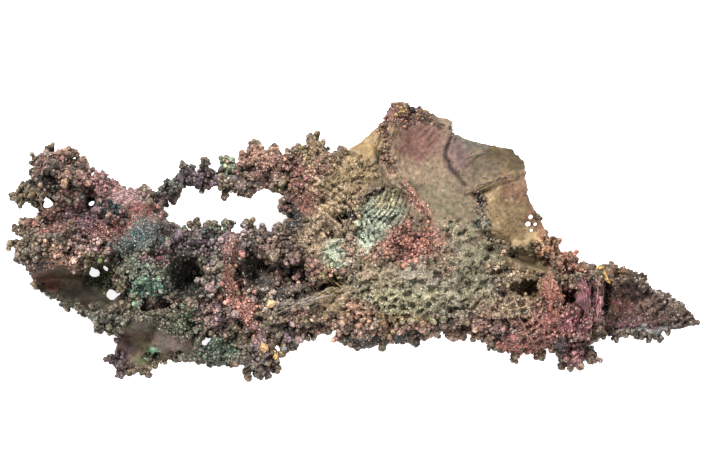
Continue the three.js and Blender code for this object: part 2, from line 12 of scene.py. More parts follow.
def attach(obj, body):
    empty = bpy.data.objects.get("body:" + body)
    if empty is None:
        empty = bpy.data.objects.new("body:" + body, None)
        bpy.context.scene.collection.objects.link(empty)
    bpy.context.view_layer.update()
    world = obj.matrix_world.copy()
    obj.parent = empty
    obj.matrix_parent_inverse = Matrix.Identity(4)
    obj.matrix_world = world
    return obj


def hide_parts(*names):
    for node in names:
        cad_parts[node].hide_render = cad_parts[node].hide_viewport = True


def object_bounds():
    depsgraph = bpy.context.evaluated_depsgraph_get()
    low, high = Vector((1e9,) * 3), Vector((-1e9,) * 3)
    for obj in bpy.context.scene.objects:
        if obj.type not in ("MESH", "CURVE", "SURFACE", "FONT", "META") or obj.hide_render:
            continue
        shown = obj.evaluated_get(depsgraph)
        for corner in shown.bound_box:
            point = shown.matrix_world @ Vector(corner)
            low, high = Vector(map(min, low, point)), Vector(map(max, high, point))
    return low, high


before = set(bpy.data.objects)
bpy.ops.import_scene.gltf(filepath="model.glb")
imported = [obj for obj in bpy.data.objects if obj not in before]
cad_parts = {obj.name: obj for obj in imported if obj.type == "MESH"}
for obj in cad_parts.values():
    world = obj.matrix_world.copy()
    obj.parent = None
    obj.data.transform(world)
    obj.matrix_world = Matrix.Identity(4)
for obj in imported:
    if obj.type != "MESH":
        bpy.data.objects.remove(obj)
cad_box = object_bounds()

# ---- The crust's body -----------------------------------------------------------------------------------
# Goethite, partly turned to hematite, that grew in layers over a froth of stalks and sheets: a solid, pitted
# and laced mass where the knobs sit, and a smooth satin skin on the wing, the membrane and the apron.
# Its mesh is made in four lengths that lap, finest on the boss, where the crust is most ornate.
MM = 0.001
PLAN_OFFSET = np.array([0.058, 0.446, 0.0])  # mm from the frame's origin to the plan's, at the boss's seam
Length = namedtuple("Length", "name west east grain")  # mm of the plan, and mm between the mesh's points
LENGTHS = [Length("crust_west", -80, -27, 0.37), Length("crust_middle", -27, 0, 0.34),
           Length("crust_boss", 0, 24, 0.25), Length("crust_east", 24, 80, 0.28)]
LAP = 1.5  # mm
PINHOLES = [(35.2, 4.6, 0.62), (34.7, 3.2, 0.66), (36.2, 3.2, 0.56), (35.4, 1.9, 0.54)]  # place, radius, mm
BORE_SIDES, BORE_MIDDLE, BORE_LENGTH = 10, 20, 0.08  # middle in mm above the ground, length in m
SAME_POINT = 1e-6  # m


def metres(places):
    return (np.asarray(places, float) + PLAN_OFFSET) * MM


def millimetres(points):
    return np.asarray(points, float) / MM - PLAN_OFFSET


def linear(code):
    """An sRGB hex colour as linear red, green and blue."""
    shares = [int(code[i:i + 2], 16) / 255 for i in (1, 3, 5)]
    return np.array([c / 12.92 if c <= 0.04045 else ((c + 0.055) / 1.055) ** 2.4 for c in shares])


def soft(low, high, values):
    """0 below low, 1 above high, and a smooth step between."""
    share = np.clip((values - low) / (high - low), 0, 1)
    return share * share * (3 - 2 * share)


def ripples(places, size, shift=0.0):
    """Smooth noise, about -1 to 1, whose features are that size in mm."""
    return np.array([noise.noise(Vector(p)) for p in places / size + shift])


# The films' hues. A film is named with its lightness, from 0 to 100, as in "rose 45".
FILMS = {"grey": "#7a7976", "slate": "#607e7c", "mauve": "#89737a", "magenta": "#a76672", "rose": "#986e6d",
         "crimson": "#a46963", "coral": "#a96a59", "dusk": "#8c736f", "clay": "#9a6f62", "bark": "#8f7367",
         "tan": "#937260", "russet": "#977156", "stone": "#84776c", "umber": "#897660", "bronze": "#8a7658",
         "ochre": "#8e754d", "khaki": "#7f7961", "drab": "#817868", "moss": "#727d52", "sage": "#767b6b",
         "green": "#60806a"}
LUMINANCE = (0.2126, 0.7152, 0.0722)


def film(code):
    """The film's linear colour at the lightness that follows its name."""
    name, lightness = code.split()
    hue = linear(FILMS[name])
    return hue / (hue @ LUMINANCE) * ((int(lightness) + 16) / 116) ** 3


# Each patch of the crust: where, how far it reaches, its turn in degrees, its habit and two films that
# mingle in it, in millimetres of the plan. Later patches lie over earlier ones.
# The void patches in caves, hollows, gaps and pits have dark films: painted shade where the crust falls away.
Patch = namedtuple("Patch", "name at reach turn habit main fleck")
HABITS = ["grapes", "bunches", "berries", "sand", "crumb", "lace", "fibres", "skin", "void"]
GRAPES, SKIN = HABITS.index("grapes"), HABITS.index("skin")
PATCHES = [Patch(*row) for row in [
    # the west: crown, cone, lobe, apron and satin membrane
    ("crown", (-58.4, 11.6), (8, 8), 0, "grapes", "stone 45", "clay 45"),
    ("crown's ochre top", (-56.4, 14), (3.6, 3.4), 0, "grapes", "bark 45", "tan 55"),
    ("crown's west arm", (-66, 8.8), (5, 3.2), 0, "grapes", "drab 40", "bronze 50"),
    ("crown's hollow", (-60.4, 12), (2.8, 1.9), 0, "void", "stone 15", "bark 20"),
    ("violet valley", (-55.2, 4), (7, 3.6), 8, "berries", "mauve 50", "rose 60"),
    ("valley's west end", (-60.4, 5.4), (3.4, 2), -20, "berries", "coral 40", "clay 35"),
    ("cone", (-46.4, 8.6), (9.5, 4), -36, "sand", "rose 45", "dusk 55"),
    ("cone's head", (-51, 12), (3.4, 3), 0, "berries", "rose 50", "rose 60"),
    ("foot of the cone", (-47.2, 3.2), (9, 3.4), 24, "sand", "crimson 35", "clay 45"),
    ("crimson streak", (-41.6, 5.4), (4, 1.1), -30, "sand", "crimson 40", "clay 50"),
    ("knot on the cone", (-47.6, 5.8), (2.8, 2.2), 0, "grapes", "slate 25", "slate 35"),
    ("west lobe", (-61.6, -1), (7, 6.8), 0, "grapes", "stone 40", "umber 50"),
    ("lobe's pink shoulder", (-61.8, 3), (4.4, 1.6), -14, "berries", "crimson 45", "clay 50"),
    ("lobe's ochre flank", (-58.6, -4), (3.6, 3), 0, "berries", "bark 75", "tan 80"),
    ("lobe's rose foot", (-63, -6.2), (4, 2.6), -20, "berries", "dusk 35", "bark 40"),
    ("knobs under the cone", (-52.2, -0.8), (4.6, 2.2), 0, "grapes", "dusk 60", "dusk 70"),
    ("basin of the apron", (-55.8, -9.9), (9.4, 4.2), -22, "skin", "umber 20", "khaki 25"),
    ("floor of the apron", (-54, -9.9), (7.6, 3.2), -22, "skin", "bronze 10", "ochre 10"),
    ("apron's upper part", (-56.6, -8), (6.4, 1.8), -20, "skin", "bronze 25", "ochre 20"),
    ("rose rim of the apron", (-61.4, -8), (3.4, 1.8), -30, "skin", "coral 25", "russet 20"),
    ("knobs by the windows", (-50.4, -7.6), (4, 3.4), 0, "berries", "moss 45", "moss 35"),
    ("apron's edge", (-58.4, -12.8), (8, 1.5), -24, "grapes", "khaki 35", "khaki 45"),
    ("grey shoulder", (-42.6, 0.4), (7.4, 3.4), 28, "sand", "slate 40", "grey 50"),
    ("green mass", (-40.8, -7), (6, 7.6), 0, "berries", "sage 45", "sage 60"),
    ("deep green slope", (-41, -10), (4, 2.8), 0, "berries", "green 50", "green 60"),
    ("grey knobs on the green", (-37.2, -10.4), (2.6, 4), 0, "grapes", "sage 50", "grey 60"),
    ("red fibres", (-37.6, -4.6), (1.6, 3.8), 28, "berries", "magenta 35", "rose 50"),
    ("rose clot", (-41.6, -3.2), (1.5, 1.2), 0, "sand", "rose 40", "dusk 50"),
    ("russet cleft", (-39.4, -13), (3.6, 1.5), 0, "berries", "bark 80", "grey 45"),
    ("green band", (-40, -16.6), (12, 3.4), 0, "berries", "sage 45", "khaki 55"),
    ("band's west end", (-49, -16), (5.4, 3.2), 0, "grapes", "sage 45", "drab 55"),
    ("band's deep green", (-31.4, -16.2), (4, 2.6), 0, "berries", "moss 40", "green 55"),
    ("satin membrane", (-42, -21.2), (7.4, 5.2), 0, "skin", "dusk 30", "umber 30"),
    ("membrane's ochre", (-42, -22.6), (4.4, 3.2), 0, "skin", "khaki 35", "bronze 40"),
    ("membrane's mauve", (-45.8, -22), (2.2, 3.6), 0, "skin", "dusk 20", "coral 20"),
    ("first green spot", (-40.4, -22.8), (1.5, 1.1), 20, "skin", "green 60", "green 70"),
    ("second green spot", (-42.6, -24.4), (1.6, 0.8), 0, "skin", "moss 25", "moss 30"),
    ("membrane's east end", (-34.6, -21.2), (6, 2.2), -8, "skin", "dusk 40", "stone 40"),
    ("membrane's lower edge", (-36.4, -24), (7, 0.9), 0, "berries", "umber 40", "umber 50"),
    ("corner knobs", (-47.4, -24.6), (2.6, 2), 0, "bunches", "mauve 35", "mauve 45"),
    # the loop, the caves and the foot
    ("loop's bar", (-35, 12), (8, 4), 24, "grapes", "grey 30", "sage 40"),
    ("plum knobs of the bar", (-30.6, 13), (4.6, 3), 0, "grapes", "mauve 25", "mauve 40"),
    ("rose knob of the bar", (-37.6, 8), (1.7, 1.7), 0, "grapes", "dusk 55", "stone 65"),
    ("green knob of the bar", (-25.2, 14.8), (2, 1.8), 0, "grapes", "green 60", "green 70"),
    ("bar's pale end", (-21.6, 11.4), (5, 3), 0, "grapes", "dusk 50", "stone 60"),
    ("first lump", (-19.6, 15.4), (6, 4.2), 0, "berries", "clay 50", "tan 60"),
    ("first lump's rose", (-16.6, 13.2), (3, 2.6), 0, "berries", "bark 55", "bark 60"),
    ("grey saddle", (-14.6, 16.6), (3, 2.4), 0, "berries", "bark 55", "tan 65"),
    ("second lump", (-7.6, 13.6), (5.6, 5), 0, "berries", "clay 45", "clay 50"),
    ("second lump's magenta", (-10, 12.6), (2.4, 1.8), 0, "berries", "rose 50", "clay 55"),
    ("lump's ochre top", (-8.4, 17), (3.4, 2), 0, "berries", "umber 60", "bronze 65"),
    ("ochre peak", (-8.2, 20), (2.2, 2.4), 0, "berries", "bronze 45", "ochre 50"),
    ("shade behind the lump", (-3.4, 12.4), (1.5, 2.6), -12, "void", "bark 25", "bark 35"),
    ("east of the loop", (-13, 8), (2.8, 3), 0, "grapes", "dusk 35", "clay 40"),
    ("dark gap by the loop", (-11.4, 4.6), (1.9, 3.4), 10, "void", "grey 20", "grey 30"),
    ("loop's lower bar", (-29.6, -1.2), (10.5, 3.6), 0, "bunches", "mauve 35", "mauve 45"),
    ("bar's grey start", (-36.4, 1.4), (2.8, 2), 0, "berries", "grey 50", "dusk 50"),
    ("green stubs", (-29.4, 3), (3.6, 1.7), 0, "grapes", "slate 40", "moss 45"),
    ("rose part of the bar", (-23.4, 1), (2.6, 2.6), 0, "berries", "grey 65", "dusk 65"),
    ("bar's east end", (-17.6, 1.2), (3.6, 2), 0, "grapes", "grey 40", "grey 45"),
    ("first cave", (-33.3, -7.4), (5, 4.9), 0, "void", "drab 20", "sage 30"),
    ("knobs beside the cave", (-28, -7.4), (3, 6.8), 6, "bunches", "stone 55", "stone 65"),
    ("violet ground", (-27.4, -14.6), (5.4, 4), 0, "grapes", "mauve 55", "bark 65"),
    ("rope's head", (-24.6, -2.4), (1.8, 3.6), 0, "sand", "clay 45", "clay 55"),
    ("rope's middle", (-24.6, -8.6), (1.8, 4.6), 8, "sand", "coral 40", "clay 50"),
    ("rope's foot", (-21.6, -14.4), (2.2, 4.6), 28, "sand", "crimson 55", "clay 70"),
    ("rope's end", (-18.6, -18.4), (1.6, 2), 20, "sand", "rose 50", "dusk 60"),
    ("second cave", (-19.4, -5), (2.7, 5.4), 0, "void", "stone 20", "stone 30"),
    ("third cave", (-12.4, -8.4), (7.4, 3.6), -8, "void", "stone 30", "stone 40"),
    ("knobs in the third cave", (-13.6, -8.2), (2.8, 2.2), 0, "bunches", "bark 65", "bark 75"),
    ("clump over the caves", (-17, -1.2), (2.9, 3), 0, "bunches", "bark 50", "bark 60"),
    ("second clump", (-12.6, -1.8), (2.4, 3), 0, "bunches", "bark 45", "dusk 60"),
    ("grey clump in the cave", (-18, -11.2), (3, 2), 0, "bunches", "stone 55", "stone 65"),
    ("hummock", (-7.6, -6.4), (2.7, 3), 0, "bunches", "bark 55", "clay 60"),
    ("twig bundle", (-11, -12.6), (8, 1.6), 14, "fibres", "stone 50", "stone 65"),
    ("south of the caves", (-8.6, -16.2), (8, 3), 0, "grapes", "bark 55", "umber 65"),
    ("dusk knobs", (-13.4, -19.6), (2.6, 2.8), 0, "bunches", "grey 55", "mauve 60"),
    ("green foot", (-27.6, -22.2), (5.6, 3.4), 0, "berries", "green 40", "sage 55"),
    ("foot", (-18.6, -24), (4.4, 4.4), 0, "bunches", "mauve 45", "stone 55"),
    ("foot's ochre edge", (-15.8, -22.2), (1.3, 2), 0, "grapes", "bronze 60", "ochre 75"),
    # the wing
    ("wing", (16, 14.4), (19, 16), 0, "skin", "umber 40", "umber 45"),
    ("wing's olive foot", (17, 4.6), (13, 8), 0, "skin", "khaki 40", "umber 40"),
    ("wing's peak", (10.4, 25), (7, 2.6), -18, "berries", "clay 40", "russet 50"),
    ("wing's rose edge", (4.6, 21.8), (2, 6), -36, "skin", "crimson 30", "crimson 30"),
    ("ochre knob", (9.8, 25.6), (1.2, 1.1), 0, "berries", "ochre 60", "ochre 65"),
    ("ochre flank", (2, 18.2), (4, 6.4), -38, "skin", "ochre 45", "bronze 50"),
    ("rough fringe", (10.6, 22.8), (5, 1.4), -8, "berries", "clay 50", "clay 60"),
    ("dark lip of the peak", (11.6, 22.6), (3.6, 0.8), -14, "berries", "bark 30", "tan 40"),
    ("rough crest", (6.2, 18.4), (1.5, 6.6), 10, "berries", "bark 45", "russet 60"),
    ("mauve field", (13.4, 19.4), (6, 5), 0, "skin", "clay 30", "clay 30"),
    ("violet fold", (21.4, 16.4), (3, 8), 14, "skin", "dusk 30", "bark 30"),
    ("violet streak", (19.4, 15.2), (1.4, 5.4), 16, "skin", "bark 35", "dusk 40"),
    ("fringe of the fold", (19.8, 21.6), (0.9, 2), 16, "berries", "dusk 30", "stone 40"),
    ("grey margin", (23.6, 19.6), (4.4, 2), -24, "skin", "stone 35", "drab 30"),
    ("east lobe", (30, 15.4), (6.6, 5), 0, "skin", "ochre 20", "ochre 25"),
    ("pale oval", (25, 12.6), (4.4, 4), 0, "skin", "umber 30", "umber 30"),
    ("lobe's speckled side", (22.4, 12.4), (1.6, 3.2), 10, "skin", "umber 35", "umber 40"),
    ("south lobe", (30.4, 6.4), (7, 7.4), 0, "skin", "bronze 50", "bronze 50"),
    ("lobe's rosy part", (32, 9.8), (4, 3.4), 0, "skin", "russet 30", "russet 30"),
    ("lobe's ochre foot", (33, 1.4), (5, 3.4), 0, "skin", "bronze 55", "bronze 60"),
    ("coral rim", (35.8, 4.6), (1.6, 7), 22, "skin", "russet 40", "russet 45"),
    ("rim above the pinholes", (34.4, 11), (1.1, 4.6), 0, "skin", "russet 30", "tan 35"),
    ("slate knot", (24.8, 7.4), (1.5, 2.4), 0, "berries", "stone 50", "bark 60"),
    ("teal dimple", (25.6, 3.6), (2.8, 2), -20, "crumb", "sage 45", "drab 50"),
    ("rough corner", (20.6, 1.4), (4.4, 3), -30, "crumb", "khaki 45", "umber 50"),
    ("rust edge", (38.6, -1), (3.6, 2.4), -40, "lace", "russet 50", "russet 60"),
    # the boss
    ("west flank", (-4.8, 8.4), (6.6, 5.8), 0, "crumb", "bronze 60", "umber 70"),
    ("flank's rose edge", (-9, 7.4), (3.2, 3), 0, "sand", "clay 45", "clay 50"),
    ("flank's ochre top", (-0.6, 13.6), (5, 4.2), 0, "crumb", "bronze 50", "bronze 55"),
    ("lower flank", (-6, 0), (6.4, 5.6), 0, "crumb", "umber 55", "umber 65"),
    ("brown flank", (-4.4, -11.4), (5, 4.6), 0, "crumb", "bronze 50", "bronze 60"),
    ("sage crust", (18.6, -8.6), (13, 8), 0, "crumb", "drab 55", "drab 65"),
    ("sage crust's west", (3.6, -9.6), (8, 6), 0, "crumb", "khaki 50", "umber 55"),
    ("ochre sage", (9.4, -12.4), (10, 4.4), 0, "lace", "khaki 60", "khaki 70"),
    ("teal shade", (23.4, -6.6), (5, 3.8), 0, "crumb", "khaki 40", "khaki 45"),
    ("green shade", (25, -12), (4.4, 3.6), 0, "crumb", "khaki 50", "khaki 55"),
    ("sage plate", (14.6, -6.8), (7, 2.8), 12, "crumb", "drab 50", "drab 55"),
    ("olive slope", (26, -3.4), (5, 3.6), -24, "crumb", "khaki 45", "khaki 50"),
    ("pale green crust", (-2.4, -2.4), (4.2, 3), 0, "crumb", "sage 65", "sage 70"),
    ("fibrous slab", (5.4, 4.4), (4.6, 5.6), -30, "fibres", "sage 60", "sage 75"),
    ("slab's olive top", (7, 8), (3.2, 2.2), 0, "fibres", "khaki 65", "khaki 80"),
    ("arch over the slab", (4, 9.2), (2, 0.8), 24, "void", "khaki 30", "khaki 40"),
    ("black hollow", (-1.2, 4.6), (1.7, 1), 0, "void", "drab 20", "drab 30"),
    ("pit by the flank", (-4.6, 1.2), (1, 0.8), 0, "void", "drab 20", "drab 30"),
    ("slab's teal foot", (3, 0.4), (4, 2.6), 40, "crumb", "sage 65", "sage 75"),
    ("coral grains", (11.6, -0.4), (7, 4.6), 0, "berries", "coral 45", "clay 65"),
    ("coral's east", (17.4, -4.4), (4.4, 3.6), 0, "lace", "tan 50", "khaki 50"),
    ("coral's west", (-0.8, -2.8), (2.6, 3.4), -30, "berries", "tan 60", "drab 80"),
    ("coral thread", (4.4, -1.6), (3, 1.4), 30, "berries", "coral 50", "bark 65"),
    ("dark chink", (12, 3.2), (1.4, 1.1), 0, "crumb", "umber 30", "umber 40"),
    ("coral scarp", (12.4, 7.8), (1.3, 5), 34, "sand", "clay 60", "bark 75"),
    ("rose knobs", (1, -14.4), (4, 2.4), -48, "lace", "clay 60", "tan 70"),
    ("olive band", (9.4, -16.2), (8, 1.6), 0, "lace", "ochre 50", "ochre 60"),
    ("hem", (12, -17.8), (14, 1.8), 0, "bunches", "bark 60", "bark 70"),
    ("hem's knobs", (24, -17.4), (6, 1.8), 0, "bunches", "clay 50", "bark 65"),
    ("hem's west corner", (-2, -17.6), (4.4, 2.6), 0, "bunches", "stone 55", "tan 65"),
    ("under the hem", (5, -20.4), (10, 1.4), 3, "sand", "grey 20", "grey 30"),
    # the east mass and the leaf
    ("east mass", (35.4, -15.6), (14, 7), 0, "berries", "clay 45", "tan 55"),
    ("ledge over the hollows", (31, -6.2), (6, 2), -16, "berries", "umber 65", "umber 70"),
    ("lace under the hollow", (31, -13.6), (6, 2.8), 0, "lace", "umber 55", "umber 60"),
    ("red lace", (38.4, -17), (5.4, 3.6), 0, "lace", "crimson 45", "clay 55"),
    ("plum grapes", (29.6, -18.4), (4, 2.8), 0, "bunches", "bark 50", "dusk 45"),
    ("dull rose foot", (33.6, -21.4), (6, 1.8), 0, "lace", "crimson 50", "crimson 55"),
    ("crevice", (35.2, -4.6), (6.6, 1.6), -19, "skin", "bronze 35", "bronze 40"),
    ("first hollow", (34.8, -9.6), (4.6, 2.5), -6, "void", "bronze 40", "bronze 50"),
    ("second hollow", (43.2, -11.2), (3.2, 3), 0, "lace", "coral 30", "coral 40"),
    ("column between the hollows", (39.2, -10.6), (1.6, 4.8), 0, "sand", "coral 45", "coral 50"),
    ("coral rim of the east", (42.6, -4.6), (3, 1.8), -30, "berries", "coral 50", "coral 55"),
    ("magenta clots", (44.4, -16.4), (3.8, 3.4), 0, "berries", "magenta 50", "rose 65"),
    ("curtain", (46.6, -11), (2, 4.8), 0, "skin", "magenta 25", "magenta 35"),
    ("pink column", (48.8, -12.4), (1.2, 5.2), 0, "skin", "magenta 50", "rose 65"),
    ("dark behind the tassel", (41.8, -21.4), (1.9, 1.6), 0, "void", "mauve 25", "dusk 30"),
    ("tassel", (44.6, -23.4), (3.6, 3.2), 0, "grapes", "rose 60", "rose 55"),
    ("tassel's grey side", (48, -21), (1.8, 2.6), 0, "grapes", "stone 40", "stone 50"),
    ("leaf", (60.4, -13.2), (15, 9), -12, "crumb", "umber 25", "bark 30"),
    ("trough", (56.6, -12), (7.4, 3.4), -12, "crumb", "bark 30", "bark 40"),
    ("trough's rose wall", (52.8, -12.6), (2.4, 2.4), 0, "sand", "crimson 40", "clay 35"),
    ("leaf's upper rim", (60.4, -10.2), (9, 0.8), -24, "sand", "stone 50", "stone 60"),
    ("leaf's top knobs", (52.6, -5.2), (5.4, 1.4), -4, "berries", "russet 45", "russet 50"),
    ("knobs by the ochre", (51.2, -8.4), (2.8, 1.4), 0, "grapes", "clay 75", "bark 85"),
    ("leaf's lower side", (56, -16.4), (8, 1.6), 2, "sand", "rose 30", "rose 40"),
    ("leaf's grey strip", (57, -17.9), (8.6, 0.55), 3, "skin", "grey 45", "grey 45"),
    ("leaf's lower knobs", (58, -19.6), (5, 0.9), 0, "grapes", "stone 35", "stone 40"),
    ("dark by the crumb", (-14.6, -11.6), (1.6, 1), 0, "void", "stone 20", "stone 30"),
]]
BASE_MAIN, BASE_FLECK = "umber 50", "umber 40"
BACK_MAIN, BACK_FLECK, BACK_GREY = "stone 35", "tan 45", "grey 30"
PATCH_EDGE, VOID_EDGE = (0.45, 1.2), (0.55, 0.8)  # a patch fades over this much of its reach, inwards
PATCH_REACH = 1.65  # how far out a patch starts, in its reaches
STRAY, FRAY = (3.2, 1.7), (0.9, 0.9)  # size of the waves in a patch's edge and how far they throw it, mm
BACK_SHARE, GREY_SHARE = 0.85, 0.6


def patch_strength(patch, flat):
    turn = math.radians(patch.turn)
    dx, dy = flat[:, 0] - patch.at[0], flat[:, 1] - patch.at[1]
    across = (dx * math.cos(turn) + dy * math.sin(turn)) / patch.reach[0]
    along = (dy * math.cos(turn) - dx * math.sin(turn)) / patch.reach[1]
    return soft(*(VOID_EDGE if patch.habit == "void" else PATCH_EDGE), PATCH_REACH - np.hypot(across, along))


def read_patches(places, normals):
    """The film's colour at each place, and how far each habit rules there."""
    stray = np.stack([ripples(places, STRAY[0], 5.1), ripples(places, STRAY[0], 9.7)], 1) * STRAY[1]
    fray = np.stack([ripples(places, FRAY[0], 6.6), ripples(places, FRAY[0], 8.1)], 1) * FRAY[1]
    flat = places[:, :2] + stray + fray
    speckle = np.clip(0.5 + 1.1 * ripples(places, 1.3, 2.3) + 0.5 * ripples(places, 0.5, 7.7), 0, 1)[:, None]
    colour = film(BASE_MAIN) * (1 - speckle) + film(BASE_FLECK) * speckle
    habit = np.zeros((len(places), len(HABITS)))
    habit[:, GRAPES] = 1
    for patch in PATCHES:
        share = patch_strength(patch, flat)[:, None]
        tint = film(patch.main) * (1 - speckle) + film(patch.fleck) * speckle
        colour += (tint - colour) * share
        habit += (np.eye(len(HABITS))[HABITS.index(patch.habit)] - habit) * share
    under = np.clip(0.2 - 1.6 * normals[:, 2:3], 0, 1)
    back = film(BACK_MAIN) * (1 - speckle) + film(BACK_FLECK) * speckle
    grey = np.clip(0.5 + ripples(places, 9.0, 4.4), 0, 1)[:, None]
    back += (film(BACK_GREY) - back) * grey * GREY_SHARE
    colour += (back - colour) * under * BACK_SHARE
    habit += (np.eye(len(HABITS))[GRAPES] - habit) * under * (1 - habit[:, SKIN:SKIN + 1])
    return colour, habit


# Folds, grooves and veins: route, how many run side by side, the gap between them, half width and rise in mm.
Fold = namedtuple("Fold", "name route lines gap width rise")
FOLDS = [Fold(*row) for row in [
    ("crest of the wing", [(8.4, 26.4), (7.4, 22), (5.6, 18), (6.6, 14.4), (8.6, 12)], 1, 0, 1.9, 0.6),
    ("groove beside the crest", [(6.2, 21.4), (4.4, 18.4), (4.4, 15.2)], 1, 0, 0.8, -0.7),
    ("fold's lip", [(19.6, 22.8), (17.9, 20), (16.7, 17), (17.8, 13.8), (21, 10.4)], 1, 0, 1.5, 0.3),
    ("fold's groove", [(20.6, 22.4), (19.1, 20), (18.2, 17), (19.4, 14), (22.2, 11)], 1, 0, 0.6, -0.6),
    ("hatch", [(16.6, 22.6), (13.8, 19.6)], 4, 1.2, 0.45, -0.22),
    ("vein", [(22.4, 9.4), (26, 10.4), (29.2, 12.2), (32, 13.2), (34, 13.2)], 1, 0, 0.55, 0.6),
    ("vein's shadow", [(23.4, 8.8), (26.8, 9.8), (29.8, 11.5), (33, 12.5)], 1, 0, 0.5, -0.45),
    ("small vein", [(22.4, 15), (24.8, 17.2), (28, 18.6)], 1, 0, 0.45, 0.3),
    ("south lobe's line", [(32.4, 4), (36.4, 2.8)], 1, 0, 0.45, -0.3),
    ("scarp under the wing", [(8.4, 11.8), (11, 9.4), (13.4, 6.4), (15, 3.8)], 1, 0, 0.5, -0.5),
    ("scarp's strands", [(9, 12.4), (11.6, 10), (14, 7), (15.6, 4.4)], 3, 0.6, 0.25, -0.3),
    ("slab's pleats", [(8.8, 9.6), (7.8, 6.2), (4.8, 3), (3.6, -0.4)], 8, 0.9, 0.28, -0.45),
    ("slab's step", [(0.8, 3.8), (3.4, 4.6), (6.4, 3.6), (8.2, 4.8)], 1, 0, 0.3, -0.4),
    ("third cave's floor", [(-16.4, -9), (-12.8, -8)], 1, 0, 4, 1.6),
    ("first hollow's floor", [(33, -9.4), (36.4, -9.8)], 1, 0, 3.4, 3.4),
    ("second hollow's floor", [(43, -10.4), (43.4, -12)], 1, 0, 3.6, 5),
    ("black hollow's pit", [(-2.2, 4.4), (0, 5)], 1, 0, 1.3, -2.6),
    ("pit by the flank", [(-5, 1), (-4.2, 1.4)], 1, 0, 0.8, -1.8),
    ("arch's shade", [(2.4, 8.2), (5.6, 9.8)], 1, 0, 0.7, -1.4),
    ("column's ribs", [(48.8, -7.4), (49, -12), (48.2, -17.6)], 3, 0.8, 0.35, -0.4),
    ("curtain's ribs", [(45.8, -7.2), (46.6, -11), (46.8, -15.6)], 3, 1.0, 0.35, -0.5),
    ("crease behind the column", [(50.8, -9), (50.6, -12.6), (49.8, -16)], 1, 0, 0.9, -1.2),
    ("crease between the folds", [(47.7, -8), (47.8, -12), (47.4, -15)], 1, 0, 0.5, -0.9),
    ("cracks of the leaf", [(53, -8.6), (58, -12.4), (65, -16)], 5, 1.3, 0.22, -0.3),
    ("leaf's lower crease", [(50, -17.4), (56, -17.6), (63, -17)], 1, 0, 0.6, -0.6),
    ("pale rib", [(-6.8, -0.6), (-3.4, -4.4), (0, -8.6), (2, -12)], 1, 0, 0.9, 0.9),
    ("fan's pleats", [(-7.4, 9.4), (-3.6, 7), (0.4, 3.4), (3, -0.4)], 6, 1.2, 0.4, -0.5),
    ("south strands", [(-16, -12.6), (-10, -10.2), (-5, -7.4), (-1, -6.4)], 5, 1.0, 0.4, -0.6),
    ("cone's strands", [(-60, 6.2), (-55, 5.4), (-50, 3.4), (-46, 0.4)], 4, 1.1, 0.4, -0.5),
    ("rope's strands", [(-25.6, 4.4), (-26.4, -2), (-26, -7), (-23, -12), (-19.4, -17)], 4, 0.9, 0.4, -0.5),
    ("fold of the apron", [(-63, -6.4), (-56, -9.6), (-50.6, -12)], 1, 0, 2.4, 0.2),
    ("membrane's fold", [(-47, -19.6), (-42.6, -22), (-40, -25)], 1, 0, 1.6, -0.4),
]]


def distance_to_route(flat, route):
    nearest = np.full(len(flat), 1e9)
    for a, b in zip(route, route[1:]):
        a, step = np.array(a), np.subtract(b, a)
        along = np.clip(((flat - a) @ step) / (step @ step), 0, 1)
        nearest = np.minimum(nearest, np.linalg.norm(flat - a - along[:, None] * step, axis=1))
    return nearest


def mesh_points(mesh):
    values = np.empty(len(mesh.vertices) * 3, np.float32)
    mesh.vertices.foreach_get("co", values)
    return values.reshape(-1, 3).astype(float)


def mesh_directions(mesh):
    values = np.empty(len(mesh.vertices) * 3, np.float32)
    mesh.vertex_normals.foreach_get("vector", values)
    return values.reshape(-1, 3).astype(float)


def put_in_scene(name, data):
    """A new object with that data, linked to the scene."""
    piece = bpy.data.objects.new(name, data)
    bpy.context.scene.collection.objects.link(piece)
    return piece


def mesh_from(shape, name):
    """The bmesh as a named mesh; the bmesh is freed."""
    mesh = bpy.data.meshes.new(name)
    shape.to_mesh(mesh)
    shape.free()
    return mesh


def finished_mesh(piece):
    """The piece's mesh with its modifiers applied."""
    return bpy.data.meshes.new_from_object(piece.evaluated_get(bpy.context.evaluated_depsgraph_get()))


def thickness(polygons, points, directions):
    """How much crust, in mm, lies behind each point."""
    tree = BVHTree.FromPolygons(points.tolist(), polygons)
    hits = (tree.ray_cast(Vector(p - 0.05 * d), Vector(-d))[3] for p, d in zip(points, directions))
    return np.array([hit if hit is not None else 0.0 for hit in hits])


def cut_length(length):
    """One length of the CAD solid, with the pinholes of the wing, as an even fine mesh."""
    shape = bmesh.new()
    shape.from_mesh(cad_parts["specimen"].data)
    bmesh.ops.remove_doubles(shape, verts=shape.verts, dist=SAME_POINT)
    for edge, way in ((length.west - LAP, -1), (length.east + LAP, 1)):
        bmesh.ops.bisect_plane(shape, geom=shape.verts[:] + shape.edges[:] + shape.faces[:],
                               plane_co=metres((edge, 0, 0)), plane_no=(way, 0, 0), clear_outer=True)
        bmesh.ops.holes_fill(shape, edges=[e for e in shape.edges if e.is_boundary])
    piece = put_in_scene(length.name, mesh_from(shape, length.name))
    drill = None
    bored = [hole for hole in PINHOLES if length.west < hole[0] < length.east]
    if bored:
        bore = bmesh.new()
        for x, y, radius in bored:
            bmesh.ops.create_cone(bore, cap_ends=True, segments=BORE_SIDES, depth=BORE_LENGTH,
                                  radius1=radius * MM, radius2=radius * MM,
                                  matrix=Matrix.Translation(metres((x, y, BORE_MIDDLE))))
        drill = put_in_scene("pinhole_drill", mesh_from(bore, "pinhole_drill"))
        piece.modifiers.new("pinholes", "BOOLEAN").object = drill
    froth = piece.modifiers.new("froth", "REMESH")
    froth.mode = "VOXEL"
    froth.voxel_size = length.grain * MM
    mesh = finished_mesh(piece)
    piece.modifiers.clear()
    piece.data = mesh
    if drill:
        bpy.data.objects.remove(drill)
    return piece


